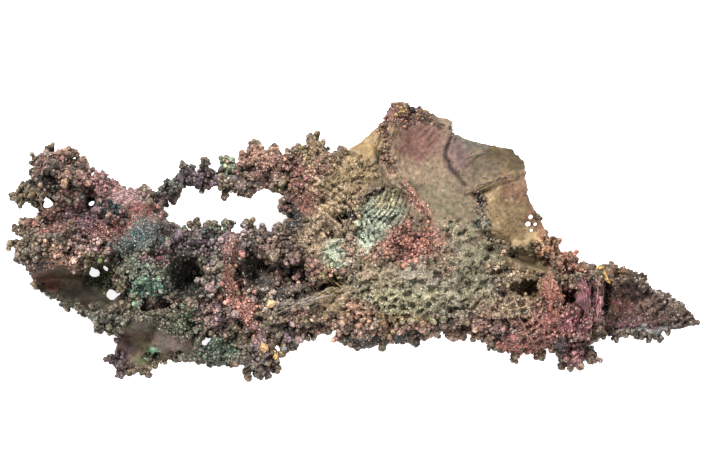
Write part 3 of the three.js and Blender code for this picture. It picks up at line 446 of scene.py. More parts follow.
SMOOTHING, SATIN_SMOOTHING = 1.1, 4  # rounds of smoothing: by the grain, and by its square on the skin
CLUMP, KNOB, FOLD_STRAY = 3.8, 1.8, 0.35  # mm: a clump's size, a knob's size, and how far a fold strays
FLOW = (0.9, 0.42, 0.45)  # the cracks run with the crust: the flow's direction in plan and its stretch
MOST_CLUMP, RIM_SWELL = 0.9, 0.13  # mm
SINK_SHARE, RIM_SPARED, FOLD_SHARE = 0.36, 0.55, 0.3  # the most of the crust's depth that is sunk away
FULL_DEPTH, FOOT = 4, 1.2  # mm: relief is full from this depth of crust, and this far above the ground
# the most that painted shade darkens the crust, as a share
MOST_PAINTED_SHADE = 0.9


def smooth_length(piece, grain):
    """Rounds off the voxels of a length, and irons its skin flat."""
    shape = bmesh.new()
    shape.from_mesh(piece.data)
    shape.normal_update()
    everything = list(shape.verts)
    for _ in range(round(SMOOTHING / grain)):
        bmesh.ops.smooth_vert(shape, verts=everything, factor=0.5, use_axis_x=True, use_axis_y=True,
                              use_axis_z=True)
    places = millimetres([v.co[:] for v in everything])
    habit = read_patches(places, np.array([v.normal[:] for v in everything]))[1]
    satin = [v for v, share in zip(everything, habit[:, SKIN]) if share > 0.5]
    for _ in range(round(SATIN_SMOOTHING / grain ** 2)):
        bmesh.ops.smooth_vert(shape, verts=satin, factor=0.5, use_axis_x=False, use_axis_y=False,
                              use_axis_z=True)
    shape.to_mesh(piece.data)
    shape.free()
    piece.data.update()


def folded(places, normals):
    """How far the folds lift the crust at each place, in mm."""
    strayed = places[:, :2] + np.stack([ripples(places, 1.4, 1.2), ripples(places, 1.4, 6.1)], 1) * FOLD_STRAY
    fold = np.zeros(len(places))
    for bend in FOLDS:
        run = np.subtract(bend.route[-1], bend.route[0])
        aside = np.array([-run[1], run[0]]) / np.linalg.norm(run)
        for line in range(bend.lines):
            route = np.array(bend.route) + aside * bend.gap * (line - (bend.lines - 1) / 2)
            away = distance_to_route(strayed, route) / bend.width
            fold += bend.rise * np.clip(1 - away ** 2, 0, 1) ** 2
    return fold * np.clip(normals[:, 2] * 3, 0, 1)


def grow(piece, grain):
    """Draws a length's folds, pits, lace and clumps, and gives it back as arrays."""
    smooth_length(piece, grain)
    places, normals = millimetres(mesh_points(piece.data)), mesh_directions(piece.data)
    colour, habit = read_patches(places, normals)
    grapes, bunches, berries, sand, crumb, lace, fibres, skin, void = habit.T
    depth = thickness([p.vertices[:] for p in piece.data.polygons], places, normals)
    near_clump, next_clump = np.array([noise.voronoi(Vector(p))[0][:2] for p in places / CLUMP + 7.7]).T
    nearest, second = np.array([noise.voronoi(Vector(p))[0][:2] for p in places / KNOB]).T
    x, y, z = places.T
    flow = np.stack([FLOW[2] * (x * FLOW[0] + y * FLOW[1]), y * FLOW[0] - x * FLOW[1], z], 1)
    fine = ripples(places, 0.75, 5.5)

    # what is sunk: pits, creases between clumps, holes of the lace and cracks between crumbs
    cracked = ripples(flow, 1.0, 3.9) + 0.6 * ripples(places, 0.55, 8.2)
    crack = soft(0.08, 0.3, cracked) * (crumb + 0.4 * fibres)
    hole = soft(0.12, 0.36, second - nearest) * (lace + 0.2 * berries)
    knobbed = grapes + bunches + 0.6 * berries
    pit = soft(0.12, 0.4, ripples(places, 2.6, 2.9) + 0.4 * ripples(places, 1.1, 8.8)) * knobbed
    crease = (1 - soft(0.03, 0.26, next_clump - near_clump)) * knobbed
    inset = 0.25 * grapes + 0.35 * bunches + 0.25 * berries + 0.15 * lace + 0.05 * sand
    inset += 1.4 * pit + 0.9 * crease + 1.1 * hole + 0.9 * crack
    rim = np.clip(1.4 * (1 - np.abs(normals[:, 2])), 0, 1) * (1 - void)
    inset = np.minimum(inset, SINK_SHARE * depth * (1 - RIM_SPARED * rim))

    # what is raised: clumps, knobs, waves of the skin and folds
    clumps = (0.42 - near_clump) * 2.6 * (grapes + bunches + 0.5 * berries)
    knots = (0.25 * ripples(places, 2.1, 4.6) + 0.15 * ripples(places, 0.8, 3.1)) * (crumb + sand + fibres)
    domes = (0.4 - nearest) * 0.6 * berries
    waves = (0.16 * ripples(places, 4.0, 3.3) + 0.08 * ripples(places, 1.2, 7.3) + 0.06 * fine) * skin
    fold = folded(places, normals)
    swell = (np.minimum(clumps, MOST_CLUMP) + domes + waves + knots) * np.clip(depth / FULL_DEPTH, 0.1, 1)
    swell += np.maximum(fold, -FOLD_SHARE * depth) + RIM_SWELL * rim

    moved = places + normals * ((swell - inset) * np.clip(places[:, 2] / FOOT, 0, 1))[:, None]
    moved[:, 2] = np.maximum(moved[:, 2], 0)
    moved = np.clip(moved, *millimetres(cad_box))
    piece.data.vertices.foreach_set("co", metres(moved).astype(np.float32).ravel())
    piece.data.update()
    shut = np.clip(pit + hole + crack, 0, 1)
    # Painted shade: the crust is painted darker where shade falls. That is between knobs and clumps, in pits,
    # holes, cracks and creases, in hollows and in grooves. On the skin its tone also mottles at random.
    gap = 0.42 * (grapes + bunches) + 0.4 * berries + 0.15 * sand + 0.2 * void + 0.1 * lace + 0.6 * shut
    gap += 0.5 * crease + 0.85 * soft(0.05, 0.7, -fold)
    mottle = 1 + (0.4 * fine + 0.3 * ripples(places, 0.45, 1.9) + 0.2 * ripples(places, 2.2, 8.3)) * skin
    tint_with_painted_shade(piece.data, colour * ((1 - np.clip(gap, 0, MOST_PAINTED_SHADE)) * mottle)[:, None], skin + 0.12 * crumb)
    finish_piece(piece)
    return moved, normals, np.column_stack([habit, np.clip(shut + 0.8 * crease, 0, 1)])


def tint_with_painted_shade(mesh, colours, skin):
    """Keeps each point's colour, painted light and shade included, and how smooth the crust is there, on the
    mesh.
    """
    layer = mesh.attributes.new("tint_with_painted_shade", "FLOAT_COLOR", "POINT")
    rgba = np.concatenate([colours, np.ones((len(colours), 1))], 1)
    layer.data.foreach_set("color", rgba.astype(np.float32).ravel())
    layer = mesh.attributes.new("skin", "FLOAT", "POINT")
    layer.data.foreach_set("value", np.asarray(skin, np.float32))


def finish_piece(piece):
    mesh = piece.data
    mesh.polygons.foreach_set("use_smooth", [True] * len(mesh.polygons))
    mesh.materials.clear()
    mesh.materials.append(crust_finish)
    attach(piece, "root")
    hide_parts("specimen")


def node(tree, kind, links=(), **settings):
    """Adds a node, sets it, its inputs by number (in_0, in_1 and so on), and links others to its inputs."""
    made = tree.nodes.new(kind)
    for key, value in settings.items():
        if key.startswith("in_"):
            made.inputs[int(key[3:])].default_value = value
        else:
            setattr(made, key, value)
    for source, socket in links:
        tree.links.new(source, made.inputs[socket])
    return made


def remap(tree, source, given=(0.0, 1.0), made=(0.0, 1.0)):
    """Turns the given range of a value into the made one."""
    return node(tree, "ShaderNodeMapRange", [(source, 0)], in_1=given[0], in_2=given[1],
                in_3=made[0], in_4=made[1]).outputs[0]


# Iridescent hematite: a metallic grey-brown oxide under a film that splits light into rose, green and gold.
# The film is worn satin rather than mirror bright, and fine crystals roughen every knob; some are glossier
# and catch the light, and a few are painted pale as painted glints. Painted shade darkens the creases between
# the crystals. The skin is smooth and pricked with dark pores.
CRYSTAL, PORE, DUST = 0.32, 0.62, 0.9  # mm across
# the pale colour of the painted glints
PAINTED_GLINT = "#c9bdb2"
CRYSTAL_BUMP, PORE_BUMP = 0.2, 0.1  # mm


def iridescent_hematite():
    material = bpy.data.materials.new("iridescent_hematite_crust")
    material.use_nodes = True
    tree = material.node_tree
    tree.nodes.clear()
    where = node(tree, "ShaderNodeTexCoord").outputs["Object"]
    # the points' colours, with their painted light and shade in them
    shaded_tint = node(tree, "ShaderNodeAttribute", attribute_name="tint_with_painted_shade").outputs["Color"]
    skin = node(tree, "ShaderNodeAttribute", attribute_name="skin").outputs["Fac"]
    crystals = node(tree, "ShaderNodeTexVoronoi", [(where, "Vector")], in_2=1 / (CRYSTAL * MM))
    chance = node(tree, "ShaderNodeSeparateColor", [(crystals.outputs["Color"], 0)])
    # Painted shade: each crystal is darker towards its edges, in the creases between crystals, and its tone
    # also differs at random.
    crease = remap(tree, crystals.outputs["Distance"], (0.2, 0.7), (1.15, 0.6))
    each = remap(tree, chance.outputs[0], made=(0.5, 1.5))
    grit_and_shade = node(tree, "ShaderNodeMath", [(crease, 0), (each, 1)], operation="MULTIPLY")
    pores = node(tree, "ShaderNodeTexVoronoi", [(where, "Vector")], in_2=1 / (PORE * MM))
    wide = node(tree, "ShaderNodeSeparateColor", [(pores.outputs["Color"], 0)])
    size = remap(tree, wide.outputs[0], (0.4, 1.0), (0.001, 0.34))
    pore = node(tree, "ShaderNodeMath", [(pores.outputs["Distance"], 0), (size, 1)], operation="DIVIDE")
    prick = remap(tree, pore.outputs[0], (0.6, 1.2), (0.35, 1.0))
    ease = node(tree, "ShaderNodeMix", [(skin, 0), (grit_and_shade.outputs[0], 2), (prick, 3)])
    dust = node(tree, "ShaderNodeTexNoise", [(where, "Vector")], in_2=1 / (DUST * MM), in_3=5.0, in_4=0.75)
    shade = remap(tree, dust.outputs["Fac"], (0.3, 0.7), (0.6, 1.38))
    both = node(tree, "ShaderNodeMath", [(ease.outputs[0], 0), (shade, 1)], operation="MULTIPLY")
    tinted = node(tree, "ShaderNodeVectorMath", [(shaded_tint, 0), (both.outputs[0], 3)], operation="SCALE")
    # Painted glints: a few crystals off the skin are painted pale.
    clear = remap(tree, chance.outputs[2], (0.95, 0.98), (0.0, 0.45))
    painted_glint = node(tree, "ShaderNodeMix", [(skin, 0), (clear, 2)], in_3=0.0)
    tinted = node(tree, "ShaderNodeMix", [(painted_glint.outputs[0], 0), (tinted.outputs[0], 6)], data_type="RGBA",
                  in_7=(*linear(PAINTED_GLINT), 1))
    facing = node(tree, "ShaderNodeNewGeometry").outputs["Normal"]
    bare = remap(tree, skin, made=(1.0, 0.12))
    tilt = node(tree, "ShaderNodeVectorMath", [(crystals.outputs["Color"], 0)], operation="MULTIPLY_ADD",
                in_1=(1.1, 1.1, 1.1), in_2=(-0.55, -0.55, -0.55))
    lean = node(tree, "ShaderNodeVectorMath", [(tilt.outputs[0], 0), (bare, 3)], operation="SCALE")
    facet = node(tree, "ShaderNodeVectorMath", [(facing, 0), (lean.outputs[0], 1)], operation="ADD")
    facet = node(tree, "ShaderNodeVectorMath", [(facet.outputs[0], 0)], operation="NORMALIZE")
    bump = node(tree, "ShaderNodeBump", [(crystals.outputs["Distance"], "Height"),
                                         (facet.outputs[0], "Normal"), (bare, "Strength")], invert=True)
    bump.inputs["Distance"].default_value = CRYSTAL_BUMP * MM
    sunk = node(tree, "ShaderNodeBump", [(prick, "Height"), (bump.outputs[0], "Normal"), (skin, "Strength")])
    sunk.inputs["Distance"].default_value = PORE_BUMP * MM
    gloss = remap(tree, chance.outputs[1], (0.86, 0.96), (0.58, 0.2))
    rough = node(tree, "ShaderNodeMix", [(skin, 0), (gloss, 2)], in_3=0.7)
    surface = node(tree, "ShaderNodeBsdfPrincipled",
                   [(tinted.outputs["Result"], "Base Color"), (sunk.outputs[0], "Normal"),
                    (rough.outputs[0], "Roughness")])
    surface.inputs["Metallic"].default_value = 0.2
    surface.inputs["Specular IOR Level"].default_value = 0.3
    node(tree, "ShaderNodeOutputMaterial", [(surface.outputs[0], "Surface")])
    return material


crust_finish = iridescent_hematite()
crust = []
for length in LENGTHS:
    cut = cut_length(length)
    crust.append((cut, length) + grow(cut, length.grain))


# ---- Grapes and berries ----------------------------------------------------------------------------------
# Botryoidal knobs of goethite needles that grew outwards from a point: raspberry-like balls on short stalks.
# The largest hang in bunches, most are like grapes, about 1.2 mm across, and the smallest pack like berries.
KNOB_FORMS = 5
CANDIDATES = 240000
MINGLE = 1.1  # mm over which the films of neighbouring patches mingle from knob to knob
TIP_REACH, CREASE_REACH = 1.06, 0.92  # how far a knob's tips and creases stand from its middle
# painted light on a knob's tips and painted shade in its creases, as shares of its colour
TIP_PAINTED_LIGHT, CREASE_PAINTED_SHADE = 1.1, 0.74
ROOM = 1.2  # a knob with its tips, in its radii
STRAY_AXIS = 0.25  # how far knobs lean from the surface's own direction
GROUND_GAP = 0.6  # mm above the ground that stay bare
# Windows, pinholes and ochre that stay clear of knobs: place in plan and radius, mm.
CLEARINGS = [
    ((-61.2, 7.1), 1.9), ((-52.4, 7.6), 1.6), ((-49.8, -5.6), 1.5), ((-52.2, -6.6), 1.8), ((-48.2, -11), 1.9),
    ((-29.6, -20), 1.5), ((29.2, -19), 1.4), ((35.4, 3.4), 1.6), ((50, -7), 2.3), ((-16.6, -12.8), 1.2),
]


def knob_form(chance):
    """A ball of blunt tips: its points, faces, each point's painted light and shade, and how far it belongs
    to the stalk.
    """
    shape = bmesh.new()
    bmesh.ops.create_cube(shape, size=2)
    bmesh.ops.subdivide_edges(shape, edges=shape.edges, cuts=1, use_grid_fill=True)
    turn = Matrix.Rotation(chance.uniform(0, 6.28), 3, Vector((chance.random(), chance.random(), 1)))
    points, shades = [], []
    for vert in shape.verts:
        crease = sum(abs(c) > 0.5 for c in vert.co) == 2
        reach = (CREASE_REACH if crease else TIP_REACH) * chance.uniform(0.9, 1.08)
        points.append(turn @ (vert.co.normalized() * reach))
        shades.append(CREASE_PAINTED_SHADE if crease else TIP_PAINTED_LIGHT)
    faces = [[v.index for v in face.verts] for face in shape.faces]
    shape.free()
    points = np.array(points)
    stalk = np.clip((-0.25 - points[:, 2]) / 0.6, 0, 1)
    # Painted light and shade: each knob is lighter on its outer side and darker towards its stalk.
    return points, np.array(faces), np.array(shades) * (0.92 + 0.25 * points[:, 2]), stalk


def scatter(count, chance):
    """Random points on the body, evenly by area, with the surface's own direction and habit there."""
    meshes, found = [], []
    for piece, length, places, *values in crust:
        piece.data.calc_loop_triangles()
        corners = np.empty(len(piece.data.loop_triangles) * 3, np.int32)
        piece.data.loop_triangles.foreach_get("vertices", corners)
        corners = corners.reshape(-1, 3)
        a, b, c = (places[corners[:, i]] for i in range(3))
        meshes.append((corners, np.linalg.norm(np.cross(b - a, c - a), axis=1)))
    whole = sum(areas.sum() for corners, areas in meshes)
    for (corners, areas), (piece, length, *values) in zip(meshes, crust):
        here = int(count * areas.sum() / whole)
        a, b, c = corners[chance.choice(len(corners), here, p=areas / areas.sum())].T
        u, v = chance.random(here), chance.random(here)
        u, v = np.where(u + v > 1, 1 - u, u)[:, None], np.where(u + v > 1, 1 - v, v)[:, None]
        made = [(1 - u - v) * value[a] + u * value[b] + v * value[c] for value in values]
        own = (made[0][:, 0] >= length.west) & (made[0][:, 0] < length.east)
        found.append([value[own] for value in made])
    joined = [np.concatenate(values) for values in zip(*found)]
    mixed = chance.permutation(len(joined[0]))
    return [values[mixed] for values in joined]


def spaced(places, spacing, wanted):
    """Picks, in their order, the wanted places that stand at least their spacing from those picked before."""
    taken = {}
    reach = float(np.max(spacing))
    keep = []
    cells = np.floor(places / reach).astype(int).tolist()
    points = places.tolist()
    gaps = (np.broadcast_to(spacing, len(places)) ** 2).tolist()
    around = [(i, j, k) for i in (-1, 0, 1) for j in (-1, 0, 1) for k in (-1, 0, 1)]
    for index in np.flatnonzero(wanted).tolist():
        x, y, z = points[index]
        cx, cy, cz = cells[index]
        gap = gaps[index]
        near = (p for i, j, k in around for p in taken.get((cx + i, cy + j, cz + k), ()))
        if all((px - x) ** 2 + (py - y) ** 2 + (pz - z) ** 2 >= gap for px, py, pz in near):
            taken.setdefault((cx, cy, cz), []).append((x, y, z))
            keep.append(index)
    return np.array(keep, int)


def plant(name, forms, places, directions, radii, stalks, colours, chance):
    """Joins one ball for each place into a piece, every ball along its own direction on its stalk."""
    count = len(places)
    axis = directions / np.linalg.norm(directions, axis=1, keepdims=True)
    side = np.cross(axis, chance.normal(size=(count, 3)))
    side /= np.linalg.norm(side, axis=1, keepdims=True)
    other = np.cross(axis, side)
    low, high = millimetres(cad_box)
    room = ROOM * radii[:, None]
    centres = np.clip(places + axis * stalks[:, None], low + room, high - room)
    kinds = chance.integers(0, len(forms), count)
    points, faces, tints, start = [], [], [], 0
    for kind, (form, form_faces, shades, stalk) in enumerate(forms):
        these = np.flatnonzero(kinds == kind)
        size = radii[these][:, None]
        wide = size * (1 - 0.3 * stalk)
        x, y = form[:, 0] * wide, form[:, 1] * wide
        z = form[:, 2] * size - stalk * np.maximum(stalks[these][:, None] - 0.3 * size, 0)
        across = x[..., None] * side[these][:, None] + y[..., None] * other[these][:, None]
        made = centres[these][:, None] + (across + z[..., None] * axis[these][:, None])
        points.append(made.reshape(-1, 3))
        # The form's painted light and shade, and painted shade on the stalk under each ball.
        tints.append((colours[these][:, None] * (shades * (1 - 0.5 * stalk))[:, None]).reshape(-1, 3))
        faces.append((form_faces[None] + (start + np.arange(len(these)) * len(form))[:, None, None])
                     .reshape(-1, form_faces.shape[1]))
        start += len(these) * len(form)
    points = np.concatenate(points)
    points[:, 2] = np.maximum(points[:, 2], low[2])
    mesh = bpy.data.meshes.new(name)
    mesh.from_pydata(metres(points).tolist(), [], np.concatenate(faces).tolist())
    tint_with_painted_shade(mesh, np.concatenate(tints), np.zeros(len(points)))
    finish_piece(put_in_scene(name, mesh))


chance = np.random.default_rng(7)
form_chance = random.Random(7)
knob_forms = [knob_form(form_chance) for _ in range(KNOB_FORMS)]
roots, directions, habits = scatter(CANDIDATES, chance)
shut = habits[:, -1]
kind = habits[:, :-1].argmax(1)
directions = directions + chance.normal(scale=STRAY_AXIS, size=directions.shape)
tints = read_patches(roots + chance.normal(scale=MINGLE, size=roots.shape), directions)[0]
# Painted shade: knobs that root in pits, holes, cracks and creases are darker. Each knob also varies a little
# at random.
tints = tints * np.clip(chance.normal(1, 0.05, tints.shape), 0.8, 1.2) * (1 - 0.6 * shut)[:, None]
front = directions[:, 2] > -0.2
upward = directions[:, 2] > 0.45
clear = roots[:, 2] > GROUND_GAP
for spot, size in CLEARINGS:
    clear &= np.hypot(roots[:, 0] - spot[0], roots[:, 1] - spot[1]) > size


def plant_habit(name, wanted, radius, pack, stalk, storeys=1, spread=0.24):
    """Knobs of many sizes, each pack times its radius from the next, some with others grown on top."""
    size = radius[0] + (radius[1] - radius[0]) * chance.random(len(roots)) ** 2
    keep = spaced(roots, pack * size, wanted & clear)
    places, axes, sizes = roots[keep], directions[keep], size[keep]
    made = []
    for storey in range(storeys):
        lift = chance.uniform(*stalk, len(keep)) * sizes
        shades = np.clip(np.exp(chance.normal(0.04 * storey, spread, (len(keep), 1))), 0.6, 1.4)
        made.append((places, axes, sizes, lift, tints[keep] * shades))
        axes = axes / np.linalg.norm(axes, axis=1, keepdims=True)
        places = places + axes * (lift + 0.7 * sizes)[:, None] + chance.normal(scale=0.1, size=places.shape)
        sizes = sizes * chance.uniform(0.8, 1.05, len(keep))
    plant(name, knob_forms, *(np.concatenate(values) for values in zip(*made)), chance)


# Bunches that stand out from the rim: place in plan, drawn in where it is too far out, and each one's reach.
RIM_BUNCHES = [
    (-68.2, 8.6, 1.2), (-66.8, 7.2, 0.9), (-69.1, -1.2, 1.2), (-64.2, -9.1, 1.0), (-55.8, 17.4, 1.1),
    (-39.2, 10.3, 1.1), (-34.2, 15, 1.0), (-32.1, 14.3, 0.9), (-22.4, 17.4, 0.8), (-15.9, 18.4, 1.1),
    (-13.4, 18, 0.8), (-25.8, 9, 1.1), (-28.6, 10, 0.8), (-30.6, 9.8, 0.8), (-33.1, 2.9, 0.9),
    (-26, 3.4, 1.0), (-22.4, 3, 1.0), (-22.6, 4.6, 0.7), (-17.7, 2.4, 0.8), (-15.3, 3.4, 0.8),
    (-44.6, -26.4, 1.1), (-39.9, -25.2, 0.7), (-37.9, -24.6, 0.5), (-35.3, -24.2, 0.8), (-31.1, -24.7, 0.5),
    (-29, -25, 0.9), (-19, -26.9, 1.4), (-21.6, -26.2, 1.0), (-15.6, -25.8, 1.3), (-14.6, -22.8, 0.9),
    (-8.9, -19.4, 1.5), (-11, -19.9, 0.8), (14.2, -19.3, 0.9), (17, -19.2, 0.9), (21.7, -19.5, 1.0),
    (39.3, -22.3, 0.8), (41.5, -25.3, 0.9), (45.2, -25.2, 1.1), (47.4, -21.9, 1.0), (49.9, -19.2, 0.9),
    (57.1, -19.3, 1.2), (59, -19.2, 0.8), (61, -19.3, 1.3), (63, -18.6, 0.7), (66.4, -14.8, 0.6),
    (68, -16.8, 0.6),
]
BUNCH_KNOBS = (0.35, 0.62)  # smallest and largest radius
FARTHEST_OUT, BUNCH_CORE = 0.55, 0.45  # the first in reaches, the second in mm
hung, hanging = [], []
for x, y, reach in RIM_BUNCHES:
    beside = np.hypot(roots[:, 0] - x, roots[:, 1] - y).argsort()[:40]
    rim = roots[beside[0], :2]
    away = np.array([x, y]) - rim
    x, y = rim + away * min(1, FARTHEST_OUT * reach / np.hypot(*away))
    ways = chance.normal(size=(round(10 * reach ** 2) + 3, 3))
    ways /= np.linalg.norm(ways, axis=1, keepdims=True)
    hung.append(np.array([x, y, roots[beside, 2].mean()]) + ways * (reach - BUNCH_CORE))
    hanging.append(ways)
hung, hanging = np.concatenate(hung), np.concatenate(hanging)
hung_tints = read_patches(hung, hanging)[0] * chance.uniform(0.6, 1.3, (len(hung), 1))
plant("rim_bunches", knob_forms, hung, hanging, chance.uniform(*BUNCH_KNOBS, len(hung)), np.zeros(len(hung)),
      hung_tints, chance)

west = roots[:, 0] < -38
east = roots[:, 0] > 26
grapes, bunches, berries, sandy, crumb, lace, fibres, skin, void = (kind == i for i in range(len(HABITS)))
plant_habit("grapes_west", grapes & west & front, (0.34, 0.86), 1.4, (0, 0.3))
plant_habit("grapes_middle", grapes & ~west & ~east & front, (0.38, 0.98), 1.42, (0, 0.3))
plant_habit("grapes_east", grapes & east & front, (0.36, 0.9), 1.4, (0, 0.3))
plant_habit("grapes_back", grapes & ~front, (0.5, 0.9), 2.1, (0.1, 0.5))
TALL_SHARE = 0.3
tall = chance.random(len(kind)) < TALL_SHARE
plant_habit("raised_grapes", grapes & upward & (shut < 0.4) & tall, (0.5, 0.8), 3.4, (0.2, 0.5), 2)
plant_habit("bunches", bunches & front, (0.5, 1.25), 1.42, (0, 0.3))
plant_habit("raised_bunches", bunches & upward & (shut < 0.4), (0.55, 0.9), 3.4, (0.2, 0.5), 2)
plant_habit("berries", berries & (shut < 0.6), (0.28, 0.58), 1.62, (0, 0.45))
plant_habit("lace_berries", lace & (shut < 0.35), (0.2, 0.42), 2.3, (0.1, 0.5))
plant_habit("cave_berries", void, (0.3, 0.6), 4.2, (0.3, 1.0))


# ---- Sand and crumbs --------------------------------------------------------------------------------------
# Where the knobs are finest they sit side by side like coarse sand, each a few tenths of a millimetre across,
# and on the boss they have grown together into crumbs with dark cracks between.
GRAIN_RADII, GRAIN_STALK, GRAIN_SPREAD = (0.16, 0.3), 0.14, 0.24


def grain_form():
    """A small ball of twenty faces."""
    shape = bmesh.new()
    bmesh.ops.create_icosphere(shape, subdivisions=1, radius=1)
    points = np.array([v.co[:] for v in shape.verts])
    faces = np.array([[v.index for v in face.verts] for face in shape.faces])
    shape.free()
    # Painted light and shade: each grain's outer half is lighter and the half towards the crust darker.
    return points, faces, np.where(points[:, 2] > 0, 1.1, 0.8), np.zeros(len(points))


grain_size = chance.uniform(*GRAIN_RADII, len(roots))
keep = spaced(roots, 2.0 * grain_size, sandy & clear & (shut < 0.5))
plant("sand", [grain_form()], roots[keep], directions[keep], grain_size[keep],
      chance.uniform(0, GRAIN_STALK, len(keep)),
      tints[keep] * np.exp(chance.normal(0, GRAIN_SPREAD, (len(keep), 1))), chance)
plant_habit("crumbs", (crumb | fibres) & (shut < 0.3), (0.16, 0.36), 7, (0, 0.3))


# ---- Strands --------------------------------------------------------------------------------------------
# Bundles of goethite fibres: the curtain, the ties and ribs, the twigs, the veins of the wing and the leaf's
# ridge. Each fibre is a thin rod that lies on the crust and wanders a little beside its neighbours.
Bundle = namedtuple("Bundle", "name route fibres spread radius rise main fleck")
BUNDLES = [Bundle(*row) for row in [
    ("curtain", [(45.6, -7.2), (46.4, -11), (46.8, -15.4)], 4, 2, 0.13, 0.1, "magenta 35", "magenta 45"),
    ("net of the east mass", [(37.6, -12), (41.4, -14.6), (45.4, -16.4)],
     4, 4, 0.13, 0.1, "crimson 40", "crimson 50"),
    ("vein of the wing", [(22.6, 9.6), (25.6, 10.6), (29.2, 12.4), (33.6, 13.2)],
     6, 0.5, 0.12, 0.05, "bark 30", "bark 40"),
    ("small vein", [(22.6, 15.4), (24.6, 17), (29.2, 18.6), (31.5, 18.8)],
     3, 0.2, 0.1, 0.05, "stone 35", "stone 40"),
    ("coral scarp", [(8.6, 12), (11.2, 9.8), (13.2, 7.4), (15, 4.4)], 6, 1.2, 0.09, 0, "coral 45", "clay 60"),
    ("second rib", [(-8.6, -5.4), (-4.4, -7.8), (-0.6, -10.4)], 4, 1.0, 0.18, 0.1, "bronze 50", "bronze 60"),
    ("flank fibres", [(-8.4, 9.4), (-5.4, 5.4), (-2.6, 1.6), (-0.6, -2.4)],
     5, 7, 0.1, 0, "umber 40", "umber 50"),
    ("twigs", [(-15.8, -15.6), (-11, -13.4), (-6, -11.2), (-3, -10.4)],
     10, 2.6, 0.2, 0.3, "stone 45", "stone 55"),
    ("pink column", [(48.8, -7.6), (49.1, -12), (48.2, -17.4)], 5, 1.2, 0.14, 0.15, "magenta 50", "rose 65"),
    ("column of the hollows", [(39.8, -6), (39.2, -10), (38.2, -14.6)],
     7, 1.9, 0.13, 0.1, "coral 35", "clay 50"),
    ("first tie", [(32, -14.6), (34, -17.6), (35.6, -20.8)], 3, 0.6, 0.2, 0.4, "clay 40", "tan 50"),
    ("second tie", [(36.2, -13), (36.8, -16), (39.2, -19.4)], 3, 0.6, 0.2, 0.4, "crimson 40", "clay 50"),
    ("third tie", [(28, -13.4), (30.6, -15.8), (33, -19.4)], 3, 0.5, 0.2, 0.4, "tan 40", "bark 50"),
    ("fourth tie", [(41.6, -13.4), (42.2, -16.6), (41, -20.4)], 3, 0.6, 0.2, 0.4, "magenta 35", "magenta 45"),
    ("leaf's ridge", [(48.8, -18), (53.2, -18.7), (60.6, -18.5), (68.2, -17.3)],
     3, 0.3, 0.16, 0.1, "grey 40", "grey 50"),
    ("valley fibres", [(-60.4, 4.8), (-55.4, 4.4), (-50.4, 2.6)], 7, 3.2, 0.14, 0.1, "mauve 30", "mauve 45"),
    ("west hatch of the crest", [(8.6, 25), (7.6, 20.4), (6.8, 15.4)],
     6, 1.8, 0.14, 0.1, "tan 25", "ochre 40"),
    ("upper hatch", [(11.6, 25.2), (15.6, 23.4), (20.4, 22.2)], 6, 1.6, 0.14, 0.1, "bark 25", "umber 40"),
]]
STEP = 0.7  # mm between the points of a fibre
ABOVE = 60  # mm, higher than any crust
WANDER = 0.26  # mm at each point
FIBRE_SHARE = (0.3, 0.85)  # of the bundle's length
FIBRE_SKIN = 0.25  # how smooth a fibre is
trees = [BVHTree.FromPolygons(places.tolist(), [p.vertices[:] for p in piece.data.polygons])
         for piece, length, places, *rest in crust]


def height_at(x, y):
    hits = [tree.ray_cast(Vector((x, y, ABOVE)), Vector((0, 0, -1)))[0] for tree in trees]
    return max((hit.z for hit in hits if hit), default=None)


def smooth_route(route):
    """Points every STEP along a curve that runs evenly through the route's own."""
    knots = [np.array(p, float) for p in route]
    knots = [2 * knots[0] - knots[1]] + knots + [2 * knots[-1] - knots[-2]]
    made = []
    for a, b, c, d in zip(knots, knots[1:], knots[2:], knots[3:]):
        for t in np.linspace(0, 1, max(2, int(np.linalg.norm(c - b) / STEP)), endpoint=False):
            made.append(0.5 * (2 * b + (c - a) * t + (2 * a - 5 * b + 4 * c - d) * t ** 2
                               + (3 * b - a - 3 * c + d) * t ** 3))
    return np.array(made + [knots[-2]])


def spread_out(values, reach):
    """Each value becomes the largest within reach steps of it."""
    padded = np.pad(values, reach, "edge")
    return np.max([padded[i:i + len(values)] for i in range(2 * reach + 1)], axis=0)


fibre_curve = bpy.data.curves.new("strands", "CURVE")
fibre_curve.dimensions = "3D"
fibre_curve.bevel_depth = MM
fibre_curve.bevel_resolution = 1
fibre_curve.use_fill_caps = True
for bundle in BUNDLES:
    line = smooth_route(bundle.route)
    along = np.gradient(line, axis=0)
    along /= np.linalg.norm(along, axis=1, keepdims=True)
    aside = np.stack([-along[:, 1], along[:, 0]], 1)
    for number in range(bundle.fibres):
        share = (number + 0.5) / bundle.fibres - 0.5 + chance.normal(scale=0.08)
        drift = np.cumsum(chance.normal(scale=WANDER, size=len(line)))
        drift = np.convolve(np.pad(drift - drift.mean(), 2, "edge"), np.ones(5) / 5, "valid")
        path = line + aside * (share * bundle.spread + drift[:, None])
        length = int(len(path) * chance.uniform(*FIBRE_SHARE))
        first = int(chance.integers(0, max(1, len(path) - length)))
        path = path[first:first + length]
        heights = [height_at(x, y) for x, y in path]
        if len(path) < 3 or None in heights:
            continue
        heights = 0.5 * spread_out(np.array(heights), 2) + 0.5 * np.array(heights)
        heights = np.convolve(np.pad(heights, 1, "edge"), np.ones(3) / 3, "valid")
        heights = heights + bundle.rise * chance.uniform(0, 1.2)
        spline = fibre_curve.splines.new("POLY")
        spline.points.add(len(path) - 1)
        ends = np.minimum(np.arange(len(path)), np.arange(len(path))[::-1])
        thick = bundle.radius * chance.uniform(0.7, 1.3) * np.clip(0.45 + 0.2 * ends, 0, 1)
        for point, place, width in zip(spline.points, metres(np.column_stack([path, heights])), thick):
            point.co = (*place, 1)
            point.radius = width
curve_piece = put_in_scene("strands_curve", fibre_curve)
